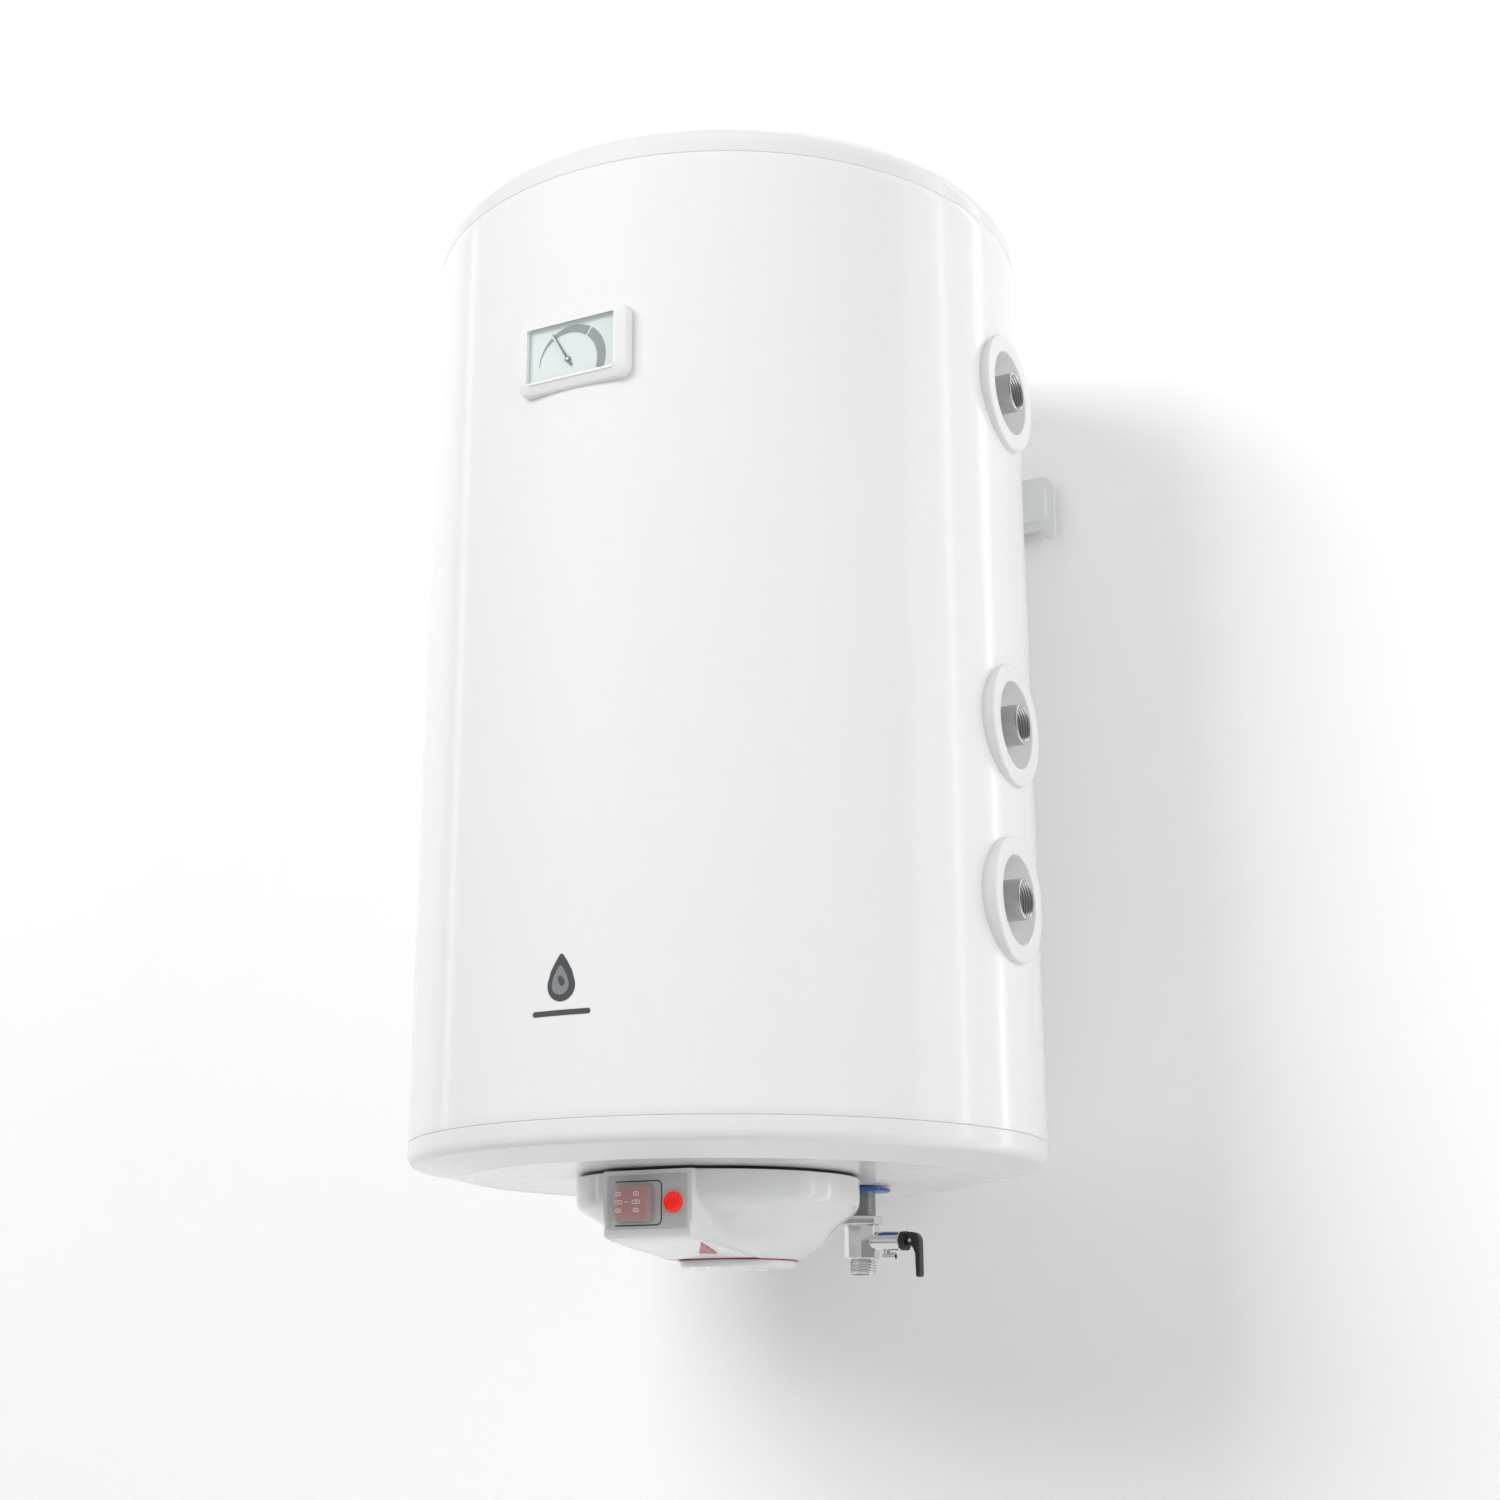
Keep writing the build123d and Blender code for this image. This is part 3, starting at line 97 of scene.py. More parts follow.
def around(profile, steps, x=0, y=0, closed=False):
    # a profile of (radius, height) turned about an upright axis
    bm = bmesh.new()
    verts = [bm.verts.new((r, 0, z)) for r, z in profile]
    pairs = list(zip(verts, verts[1:])) + ([(verts[-1], verts[0])] if closed else [])
    geometry = verts + [bm.edges.new(pair) for pair in pairs]
    bmesh.ops.spin(bm, geom=geometry, cent=(0, 0, 0), axis=(0, 0, 1), angle=2 * pi, steps=steps, use_merge=True)
    bmesh.ops.remove_doubles(bm, verts=bm.verts, dist=0.0004)
    bmesh.ops.translate(bm, verts=bm.verts, vec=(x, y, 0))
    return bm


def softened(bm, edges, offset, clamp=True):
    bmesh.ops.bevel(
        bm,
        geom=edges,
        offset=offset,
        segments=3,
        profile=0.5,
        affect="EDGES",
        material=-1,
        clamp_overlap=clamp,
    )


def slab(outline, low, high, bevel=0, holes=(), bevelLow=True):
    # an outline in the XY plane raised from low to high; its holes are outlines too
    bm = bmesh.new()
    loops = []
    for points in [outline] + list(holes):
        ring = [bm.verts.new((x, y, low)) for x, y in points]
        loops += [bm.edges.new(pair) for pair in zip(ring, ring[1:] + ring[:1])]
    if holes:
        made = bmesh.ops.triangle_fill(bm, use_beauty=True, use_dissolve=False, edges=loops)
        faces = [f for f in made["geom"] if isinstance(f, bmesh.types.BMFace)]
    else:
        faces = [bm.faces.new(ring)]
    raised = bmesh.ops.extrude_face_region(bm, geom=faces)["geom"]
    top = [v for v in raised if isinstance(v, bmesh.types.BMVert)]
    bmesh.ops.translate(bm, verts=top, vec=(0, 0, high - low))
    bmesh.ops.recalc_face_normals(bm, faces=bm.faces)
    if bevel:
        # the rims of the two flat faces, or of the upper one only
        rims = [
            e
            for e in bm.edges
            if len(e.link_faces) == 2
            and e.calc_face_angle() > radians(50)
            and abs(e.verts[0].co.z - e.verts[1].co.z) < 1e-6
            and (bevelLow or e.verts[0].co.z > (low + high) / 2)
        ]
        softened(bm, rims, bevel)
    return bm


facing = {
    "up": Matrix.Identity(4),
    # an outline drawn in (x, z) rises towards the front, -Y
    "front": Matrix(((1, 0, 0, 0), (0, 0, -1, 0), (0, 1, 0, 0), (0, 0, 0, 1))),
    # an outline drawn in (y, z) rises towards +X
    "side": Matrix(((0, 0, 1, 0), (1, 0, 0, 0), (0, 1, 0, 0), (0, 0, 0, 1))),
}


def turned(bm, way, x=0, y=0, z=0):
    bmesh.ops.transform(bm, matrix=Matrix.Translation((x, y, z)) @ facing[way], verts=bm.verts)
    return bm


def joined(*parts):
    whole = bmesh.new()
    for bm in parts:
        mesh = bpy.data.meshes.new("part")
        bm.to_mesh(mesh)
        whole.from_mesh(mesh)
        bpy.data.meshes.remove(mesh)
        bm.free()
    return whole


def stacked(rings, loop=False):
    # rings of points with the same count, joined in turn; the ends are capped, or joined to each other
    bm = bmesh.new()
    rows = [[bm.verts.new(p) for p in ring] for ring in rings]
    pairs = list(zip(rows, rows[1:])) + ([(rows[-1], rows[0])] if loop else [])
    for lower, upper in pairs:
        for i in range(len(lower)):
            j = (i + 1) % len(lower)
            bm.faces.new((lower[i], lower[j], upper[j], upper[i]))
    if not loop:
        bm.faces.new(rows[0][::-1])
        bm.faces.new(rows[-1])
    return bm


def addNode(tree, kind, inputs=None, **settings):
    # one shader node; an input is given a value or another node's output
    node = tree.nodes.new(kind)
    for key, value in settings.items():
        setattr(node, key, value)
    for key, value in (inputs or {}).items():
        if isinstance(value, bpy.types.NodeSocket):
            tree.links.new(value, node.inputs[key])
        else:
            node.inputs[key].default_value = value
    return node


def emptyMaterial(name):
    material = bpy.data.materials.new(name)
    material.use_nodes = True
    material.node_tree.nodes.clear()
    return material, material.node_tree


def finish(name, colour, second, rough=0.3, spread=0.05, grain=8, stretch=(1, 1, 1), bump=0.0,
           metal=0, coat=0, scatter=0, glow=0, haze=0):
    # colour and second are the two ends of the mottling, grain its size in mm, bump its depth in mm
    material, tree = emptyMaterial(name)
    spot = addNode(tree, "ShaderNodeTexCoord").outputs["Object"]
    scale = [s / (grain * mm) for s in stretch]
    scaled = addNode(tree, "ShaderNodeMapping", {"Vector": spot, "Scale": scale}).outputs[0]
    noise = addNode(tree, "ShaderNodeTexNoise", {"Vector": scaled, "Scale": 1.0, "Detail": 4.0}).outputs[0]
    ends = {0: noise, 6: linear(colour), 7: linear(second)}
    tone = addNode(tree, "ShaderNodeMix", ends, data_type="RGBA").outputs[2]
    roughness = {0: noise, 1: 0.3, 2: 0.7, 3: max(rough - spread, 0.02), 4: rough + spread}
    values = {
        "Base Color": tone,
        "Roughness": addNode(tree, "ShaderNodeMapRange", roughness).outputs[0],
        "Metallic": metal,
        "Coat Weight": coat,
        "Coat Roughness": 0.06,
    }
    if scatter:
        values |= {"Subsurface Weight": scatter, "Subsurface Scale": 2 * mm}
    if glow:
        values |= {"Emission Color": tone, "Emission Strength": glow}
    if bump:
        relief = {"Height": noise, "Strength": 1.0, "Distance": bump * mm}
        values["Normal"] = addNode(tree, "ShaderNodeBump", relief).outputs[0]
    surface = addNode(tree, "ShaderNodeBsdfPrincipled", values).outputs[0]
    if haze:
        # thin clear moulding: mostly see-through, with a share of milky plastic and its gloss
        clear = addNode(tree, "ShaderNodeBsdfTransparent", {"Color": linear(second)}).outputs[0]
        surface = addNode(tree, "ShaderNodeMixShader", {0: haze, 1: clear, 2: surface}).outputs[0]
    addNode(tree, "ShaderNodeOutputMaterial", {0: surface})
    return material


finishes = {
    # stoved enamel on sheet steel: white, wet gloss, the faintest orange peel in its reflections
    "white_enamel": finish(
        "stoved_enamel", "#eeeeee", "#ebebeb", rough=0.16, spread=0.03, grain=14, bump=0.012
    ),
    # gloss ABS caps: a shade greyer than the enamel, soft-edged highlights
    "white_cap": finish("gloss_abs_cap", "#e9e9e9", "#e5e5e5", rough=0.2, spread=0.04, grain=20, bump=0.012),
    # moulded cover: polished ABS, so each lobe carries its own highlight
    "white_cover": finish(
        "polished_abs_cover", "#e6e7e7", "#dfe0e0", rough=0.14, spread=0.04, grain=16, bump=0.01, coat=0.3
    ),
    # panel moulding: flat light grey with a fine even texture and no bright reflections
    "pale_panel": finish(
        "textured_abs_panel", "#c9cbcb", "#c1c3c3", rough=0.5, spread=0.06, grain=0.7, bump=0.02
    ),
    # bezel: near-white ABS, bright along its rounded edges
    "pale_bezel": finish("moulded_bezel", "#f0f1f1", "#e9eaea", rough=0.24, grain=6, bump=0.01),
    # window: clear, with only its gloss seen
    "clear_lens": finish(
        "clear_polystyrene", "#f4f8f8", "#fbfdfd", rough=0.06, spread=0.02, grain=30, haze=0.06
    ),
    # hood: milky soft vinyl that greys the rocker under it
    "clear_hood": finish(
        "soft_clear_vinyl", "#e4e0df", "#f2eeee", rough=0.12, spread=0.04, grain=5, haze=0.33
    ),
    # coated card: flat white without a highlight
    "dial_face": finish("printed_card", "#f0f0f0", "#eaeaea", rough=0.6, grain=1.2),
    # satin mid-grey paint, dark enough to read against the card
    "pointer_grey": finish("painted_pointer", "#7c7e80", "#707274", rough=0.45, grain=1.5),
    # rocker: translucent red that deepens at its thick edges, with a faint painted glow of its own, though it
    # is no lamp
    "red_rocker": finish(
        "translucent_red_plastic_with_painted_glow", "#c8333a", "#b3242c", rough=0.22, spread=0.04, grain=4,
        scatter=0.3, glow=0.1,
    ),
    # pilot lamp: lit red lens
    "red_lamp": finish(
        "red_lamp_lens", "#ff2b24", "#f01c18", rough=0.18, spread=0.04, grain=3, scatter=0.2, glow=0.28
    ),
    # deep red and clear blue mouldings: even colour, a plain soft sheen
    "red_trim": finish("red_plastic", "#b32028", "#a0181f", grain=5),
    "blue_trim": finish("blue_plastic", "#2f66b4", "#24559c", grain=5),
    # plated brass: mirror bright, with drifting roughness from polishing
    "plated_brass": finish(
        "bright_nickel_plate", "#e9e9e8", "#dcdcdb", rough=0.1, grain=7, bump=0.006, metal=1
    ),
    # bare steel pipe: dull, with streaks along its length
    "dull_steel": finish(
        "drawn_steel", "#a3a3a3", "#8f8f90", rough=0.42, spread=0.08, grain=1.4, stretch=(1, 1, 0.08),
        bump=0.01, metal=1,
    ),
    # zinc on small fixings: bluish grey with cloudy patches
    "zinc_steel": finish("zinc_plate", "#b4b8bc", "#a0a4a9", rough=0.34, spread=0.08, grain=3, metal=1),
    # tank enamel: glassy dark blue with a rippled face
    "enamelled_steel": finish(
        "vitreous_enamel", "#2c3f63", "#223355", rough=0.25, spread=0.06, grain=9, bump=0.02
    ),
    # stainless tube: even light grey, a broad highlight
    "stainless": finish("stainless_tube", "#c6c6c7", "#bdbdbe", spread=0.03, grain=6, metal=1),
    # heater sheath: warm copper with darker tarnish
    "copper_like": finish("copper_sheath", "#c98a5e", "#b57648", spread=0.08, grain=3, metal=1),
    # cast anode: rough, grainy mid-grey
    "magnesium": finish(
        "cast_magnesium", "#a7a8aa", "#8e9092", rough=0.6, spread=0.1, grain=3, bump=0.05, metal=1
    ),
    # rigid foam: buff and cellular
    "foam": finish("polyurethane_foam", "#e0cf9c", "#cdb985", rough=0.9, grain=1.6, bump=0.2),
    # glass-filled plastic: deep grey-black with a satin face
    "black_plastic": finish(
        "glass_filled_nylon", "#1d1d1f", "#262628", rough=0.42, spread=0.06, grain=1, bump=0.015
    ),
    # gasket and gland rubber: matt black
    "black_rubber": finish(
        "moulded_rubber", "#232323", "#1b1b1b", rough=0.75, spread=0.06, grain=1.5, bump=0.02
    ),
    # nylon: waxy white that lets a little light in
    "white_nylon": finish("white_nylon", "#eeeeec", "#e4e4e1", rough=0.35, grain=4, scatter=0.1),
    # screen ink: charcoal, flat
    "dark_print": finish("screen_print", "#4a4d50", "#55585b", rough=0.5, grain=1),
    # powder coat on the bracket: white, with a fine pebble
    "white_bracket": finish(
        "powder_coat", "#e6e8e8", "#dde0e0", rough=0.36, spread=0.06, grain=1.8, bump=0.03
    ),
}
# inks: flat white on the switch, mid-grey on the dial, paler grey inside the badge
whiteInk = finish("white_ink", "#ffffff", "#f4f4f4", rough=0.5, grain=2)
scaleInk = finish("scale_ink", "#9b9d9e", "#939596", rough=0.5, grain=1)
greyInk = finish("grey_ink", "#8d9194", "#7f8386", rough=0.45, grain=2)


def meshObject(name, bm, material, closed=True):
    # a piece in the frame's metres, with its place in its mesh; a closed one gets its normals outward
    bmesh.ops.transform(bm, matrix=toRow, verts=bm.verts)
    if closed:
        bmesh.ops.recalc_face_normals(bm, faces=bm.faces)
    mesh = bpy.data.meshes.new(name)
    bm.to_mesh(mesh)
    bm.free()
    mesh.materials.append(material)
    obj = bpy.data.objects.new(name, mesh)
    bpy.context.collection.objects.link(obj)
    return obj


def place(name, bm, slotName, *standsFor, body="heater", angle=32, material=None):
    # a finished piece on its body; edges sharper than angle stay crisp
    obj = meshObject(name, bm, material or finishes[slotName])
    obj.data.shade_smooth()
    obj.data.set_sharp_from_angle(angle=radians(angle))
    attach(obj, body)
    if standsFor:
        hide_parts(*standsFor)
    return obj


print("drum")
jacketSet = dict(thick=1, rows=118, steps=256, hole=35.5, lip=0.8, roll=0.25)
portNames = ("recirculation", "coil_flow", "coil_return")
portSpots = []
for name in portNames:
    low, high = local(name + "_port")
    portSpots.append(((low.y + high.y) / 2, (low.z + high.z) / 2))

lip, roll = jacketSet["lip"], jacketSet["roll"]
rim = [(drumRadius - lip, 0), (drumRadius - roll, roll), (drumRadius, lip)]
step = (jacketTall - 2 * lip) / jacketSet["rows"]
side = rim + [(drumRadius, lip + step * i) for i in range(1, jacketSet["rows"])]
side += [(x, jacketTall - z) for x, z in rim[::-1]]
jacket = around(side, jacketSet["steps"])


def atPort(face):
    # on the right, within a port's hole
    spot = face.calc_center_median()
    return spot.x > 0 and any(hypot(spot.y - y, spot.z - z) < jacketSet["hole"] for y, z in portSpots)


bmesh.ops.delete(jacket, geom=[f for f in jacket.faces if atPort(f)], context="FACES")
jacket = place("jacket", jacket, "white_enamel", "outer_jacket", angle=50)
skin = jacket.modifiers.new("sheet", "SOLIDIFY")
skin.thickness = jacketSet["thick"] * mm
skin.offset = -1

print("caps")
# edge: the seam's small set-back, its bevel and its gap; dish: the middle of the bottom cap
capSet = dict(thick=2.5, steps=256, shoulder=18, edge=(0.5, 0.05), gap=0.02, rings=(170, 110, 50, 0))
thick, shoulder, gap = capSet["thick"], capSet["shoulder"], capSet["gap"]
bevelIn, bevelOut = capSet["edge"]
capTop = local("top_cap")[1].z
flat = drumRadius - shoulder
upper = [(drumRadius - bevelIn, jacketTall + gap), (drumRadius - bevelOut, jacketTall + bevelIn)]
upper += arc(flat, capTop - shoulder, shoulder, 0, 90, 24) + [(r, capTop) for r in capSet["rings"]]
under = [(r, capTop - thick) for r in capSet["rings"][::-1] + (flat - 2,)]
under += arc(flat - 2, capTop - shoulder, shoulder - thick, 90, 0, 12)[1:]
under += [(drumRadius - 3.8, jacketTall + gap)]
place("cap_top", around(upper + under, capSet["steps"], closed=True), "white_cap", "top_cap", angle=40)

# bottom cap: upright band, rounded edge, shallow cone, a soft crest and a flat dish inside it
crest, dish = -21.6, -20.6
outer = [(drumRadius - bevelIn, -gap), (drumRadius - bevelOut, -bevelIn), (drumRadius, -5)]
outer += arc(drumRadius - 7.2, -8.4, 7.2, 0, -78, 14)
outer += [(206, -16.9), (196, -19.1), (187, -21)] + arc(180, -16.4, 6.0, -68, -112, 6)
outer += [(174, -21.7), (168, -21.1), (150, dish), (110, dish), (73, dish)]
inner = [(73, dish + thick), (150, dish + thick), (178, crest + thick), (206, -17 + thick), (214, -10)]
inner += [(drumRadius - 3.4, -gap)]
place("cap_bottom", around(outer + inner, capSet["steps"], closed=True), "white_cap", "bottom_cap", angle=40)

print("ports")
# distances along a port's axis are from the drum's axis, or back from the collar's face
collarSet = dict(outer=42.4, face=224.5, mouth=30, deep=17.5, foot=19.8, skirt=12, play=0.2, steps=96)
portSet = dict(radius=14, bore=12.06, start=194, reach=229, rim=1.2, deep=22, steps=64)
portThread = dict(pitch=1.81, depth=0.75)
outerRim, face, mouth = collarSet["outer"], collarSet["face"], collarSet["mouth"]
cupFloor, cupFoot, skirt = face - collarSet["deep"], face - collarSet["foot"], face - collarSet["skirt"]
radius, reach, bore, rim = portSet["radius"], portSet["reach"], portSet["bore"], portSet["rim"]
cup = [(mouth - 9, cupFloor), (mouth - 0.3, face - 2.2)]
cup += arc(mouth + 1.5, face - 1.7, 1.7, 180, 90, 6)[1:]
cup += arc(outerRim - 1.8, face - 1.8, 1.8, 90, 0, 8)
cup += [(outerRim, face - 5), (outerRim, skirt), (mouth + 3, skirt), (mouth + 2, cupFoot)]
cup += [(mouth - 8, cupFoot), (radius + collarSet["play"], cupFoot), (radius + collarSet["play"], cupFloor)]
# pipe end with a rounded rim and a thread inside it
stub = [(radius, portSet["start"])] + arc(radius - rim, reach - rim, rim, 0, 90, 6)
stub += [(bore + 0.9, reach), (bore, reach - 1)]
x = reach - 1
while x > reach - portSet["deep"] + 2:
    stub += [(bore + portThread["depth"], x - portThread["pitch"] / 2), (bore, x - portThread["pitch"])]
    x -= portThread["pitch"]
floor = reach - portSet["deep"]
stub += [(bore, floor), (radius / 2, floor), (radius / 2, portSet["start"])]
for name, (y, z) in zip(portNames, portSpots):
    collar = turned(around(cup, collarSet["steps"], closed=True), "side", 0, y, z)
    # the skirt follows the drum
    for v in collar.verts:
        away = hypot(v.co.y - y, v.co.z - z)
        drumAt = sqrt(max(drumRadius**2 - v.co.y**2, 0))
        if away > mouth + 3.5 and v.co.x < drumAt + 0.2:
            v.co.x = drumAt + 0.05 if v.co.x > face - 11 or away > outerRim - 0.4 else drumAt - 1
    place(name + "_cup", collar, "white_cap", name + "_collar", angle=30)
    tube = turned(around(stub, portSet["steps"], closed=True), "side", 0, y, z)
    place(name + "_stub", tube, "stainless", name + "_port", angle=35)

print("bracket")
bracketSet = dict(tall=46, sheet=2.5, corner=12, tongue=9, drop=8.5, margin=6.5, fieldCorner=7, slotAt=120)
slotSize = (30, 12.5)
flangeSet = dict(deep=13.5, corner=1.2, bevel=0.6, behind=5.75)
low, high = local("wall_bracket")
half, tall, sheet = (high.x - low.x) / 2, bracketSet["tall"], bracketSet["sheet"]
# the part's own origin is on the wall, at the middle of the bracket
hangZ, back = -seamZ / mm, -drumY / mm
top, bottom = hangZ + tall / 2, hangZ - tall / 2
tongue, corner = bracketSet["tongue"], bracketSet["corner"]
tipZ = bottom - bracketSet["drop"] + tongue / 2
outline = arc(half - corner, top - corner, corner, 0, 90, 8)
outline += arc(corner - half, top - corner, corner, 90, 180, 8)
outline += arc(-half + tongue / 2, tipZ, tongue / 2, 180, 360, 10)
outline += [(-half + tongue, bottom), (half - tongue, bottom)]
outline += arc(half - tongue / 2, tipZ, tongue / 2, 180, 360, 10)
slots = [lozenge(*slotSize, sideways * bracketSet["slotAt"], hangZ, 10) for sideways in (-1, 1)]
plate = turned(slab(outline, 0, sheet, 0.7, slots), "front", 0, back, 0)
# raised field with sloping sides
fieldRings = []
for shrink, up in ((0, 0), (0.15, 0.5), (0.9, 1.35), (1.4, 1.5)):
    inset = bracketSet["margin"] + shrink
    ring = rounded(2 * (half - inset), tall - 2 * inset, bracketSet["fieldCorner"] - shrink, 0, hangZ, 8)
    fieldRings.append([(x, z, up) for x, z in ring])
field = turned(stacked(fieldRings), "front", 0, back - sheet - 0.02, 0)
flange = rounded(2 * (half - corner), flangeSet["deep"], flangeSet["corner"])
flange = turned(slab(flange, 0, sheet, flangeSet["bevel"]), "up", 0, back + flangeSet["behind"], top - sheet)
place("bracket", joined(plate, field, flange), "white_bracket", "wall_bracket", angle=35)

print("thermometer")
# edge: (growth of the outline, depth behind the face) from the hidden skirt to the flat face
gaugeSet = dict(
    width=86,
    tall=54.5,
    corner=9,
    front=226,
    centre=(0, 512),
    window=(68, 42.5),
    axle=(-3, 505.5),
    edge=((0, 18), (0, 4.4), (-0.4, 3.6), (-1.0, 3.0), (-6.6, 0.5), (-7.3, 0.12), (-7.8, 0)),
    inside=(0.0, 0.35, 3.8),
)
# the flat pieces behind the window, and how far each stands from the drum's axis
paneSet = dict(size=(67.8, 42.3, 3), card=221.35, ink=222.12, glass=224.65)
front = gaugeSet["front"]
rings = []
for grow, depth in gaugeSet["edge"]:
    corner = max(gaugeSet["corner"] + grow * 0.75, 3.2)
    ring = rounded(gaugeSet["width"] + 2 * grow, gaugeSet["tall"] + 2 * grow, corner, *gaugeSet["centre"], 8)
    rings.append([(x, depth - front, z) for x, z in ring])
window = rounded(*gaugeSet["window"], 3.0, *gaugeSet["centre"], 8)
rings += [[(x, depth - front, z) for x, z in window] for depth in gaugeSet["inside"]]
bezel = stacked(rings, loop=True)
# the skirt's hidden edge follows the drum
for v in bezel.verts:
    if v.co.y > 10 - front:
        v.co.y = -sqrt(drumRadius**2 - v.co.x**2) - 0.05
place("dial_bezel", bezel, "pale_bezel", "gauge_bezel", angle=28)
pane = rounded(*paneSet["size"], *gaugeSet["centre"], 8)
place("dial_card", turned(slab(pane, 0, 0.75), "front", 0, -paneSet["card"], 0), "dial_face", "gauge_dial")


def crescent(outerAt, outerRadius, innerAt, innerRadius, start, end, steps=36):
    # a band between two circles that aren't concentric, as seen from the outer one's centre
    outside = arc(*outerAt, outerRadius, start, end, steps)
    inside = []
    dx, dz = outerAt[0] - innerAt[0], outerAt[1] - innerAt[1]
    for x, z in outside:
        turn = atan2(z - outerAt[1], x - outerAt[0])
        b = dx * cos(turn) + dz * sin(turn)
        reach = -b + sqrt(b * b - (dx * dx + dz * dz - innerRadius**2))
        inside.append((outerAt[0] + reach * cos(turn), outerAt[1] + reach * sin(turn)))
    return outside + inside[::-1]


scaleSet = dict(
    outer=((0.2, 503.8), 26.2),
    inner=((-3, 502.3), 22.6),
    spans=((180, 129.5), (126.5, 57.5), (54.5, -24)),
    dot=(21.6, 492.6, 2.6),
    ink=0.08,
)
marks = [crescent(*scaleSet["outer"], *scaleSet["inner"], *span) for span in scaleSet["spans"]]
marks.append(circle(*scaleSet["dot"], 20))
marks = joined(*[slab(mark, 0, scaleSet["ink"]) for mark in marks])
place("dial_scale", turned(marks, "front", 0, -paneSet["ink"], 0), None, material=scaleInk)
glass = turned(slab(pane, 0, 1.1, 0.3), "front", 0, -paneSet["glass"], 0)
place("dial_glass", glass, "clear_lens", "gauge_lens")

# halves: the blade's half widths at its tail and at its tip; the blade and the hub cap stand at and capAt
# from the drum's axis
needleSet = dict(length=24, tail=5.5, halves=(0.95, 0.35), hub=2.2, thick=0.45, rest=120)
needleSet |= dict(at=222.72, capAt=223.2)
tail, length = needleSet["tail"], needleSet["length"]
wide, tip = needleSet["halves"]
blade = slab([(-tail, -wide), (length, -tip), (length, tip), (-tail, wide)], 0, needleSet["thick"])
needle = joined(blade, slab(circle(0, 0, needleSet["hub"], 32), 0, needleSet["thick"]))
lean = Matrix.Rotation(radians(needleSet["rest"]), 3, "Z")
bmesh.ops.rotate(needle, verts=needle.verts, cent=(0, 0, 0), matrix=lean)
axleX, axleZ = gaugeSet["axle"]
needle = turned(needle, "front", axleX, -needleSet["at"], axleZ)
place("dial_needle", needle, "pointer_grey", "gauge_pointer", body="pointer")
hubCap = around([(0, 0.75), (0.9, 0.7), (1.5, 0.4), (1.7, 0), (0, 0)], 32)
place("dial_hub", turned(hubCap, "front", axleX, -needleSet["capAt"], axleZ), "white_nylon", angle=40)


def onDrum(bm, z):
    # lays a thin flat piece on the drum, keeping its thickness
    for v in bm.verts:
        x, up, thick = v.co
        v.co = ((drumRadius + thick) * sin(x / drumRadius), -(drumRadius + thick) * cos(x / drumRadius), z + up)
    return bm


print("badge")
badgeSet = dict(height=87, low=0.02, thick=0.28, barDrop=22, barWidth=42, barTall=3.4, strips=16, shrink=0.62)
drop = arc(0, -5, 10, 20, -200, 36)
drop += [(-7.6, 4.2), (-4.4, 9.8), (-1.2, 14.4), (0, 15), (1.2, 14.4), (4.4, 9.8), (7.6, 4.2)]
bar = lozenge(badgeSet["barWidth"], badgeSet["barTall"], 0, -badgeSet["barDrop"])
badgeParts = []
for outline in (drop, bar):
    mark = slab(outline, badgeSet["low"], badgeSet["thick"])
    # cut into upright strips, so that it can bend
    for i in range(1, badgeSet["strips"]):
        cutAt = badgeSet["barWidth"] * (i / badgeSet["strips"] - 0.5)
        whole = mark.verts[:] + mark.edges[:] + mark.faces[:]
        bmesh.ops.bisect_plane(mark, geom=whole, plane_co=(cutAt, 0, 0), plane_no=(1, 0, 0))
    badgeParts.append(mark)
place("badge_marks", onDrum(joined(*badgeParts), badgeSet["height"]), "dark_print", "badge", angle=40)
shrink = badgeSet["shrink"]
inner = [(x * shrink - 0.6, (y + 3) * shrink - 3.4) for x, y in drop]
gleam = onDrum(slab(inner, badgeSet["thick"], badgeSet["thick"] + 0.05), badgeSet["height"])
place("badge_field", gleam, "pointer_grey", material=greyInk, angle=40)

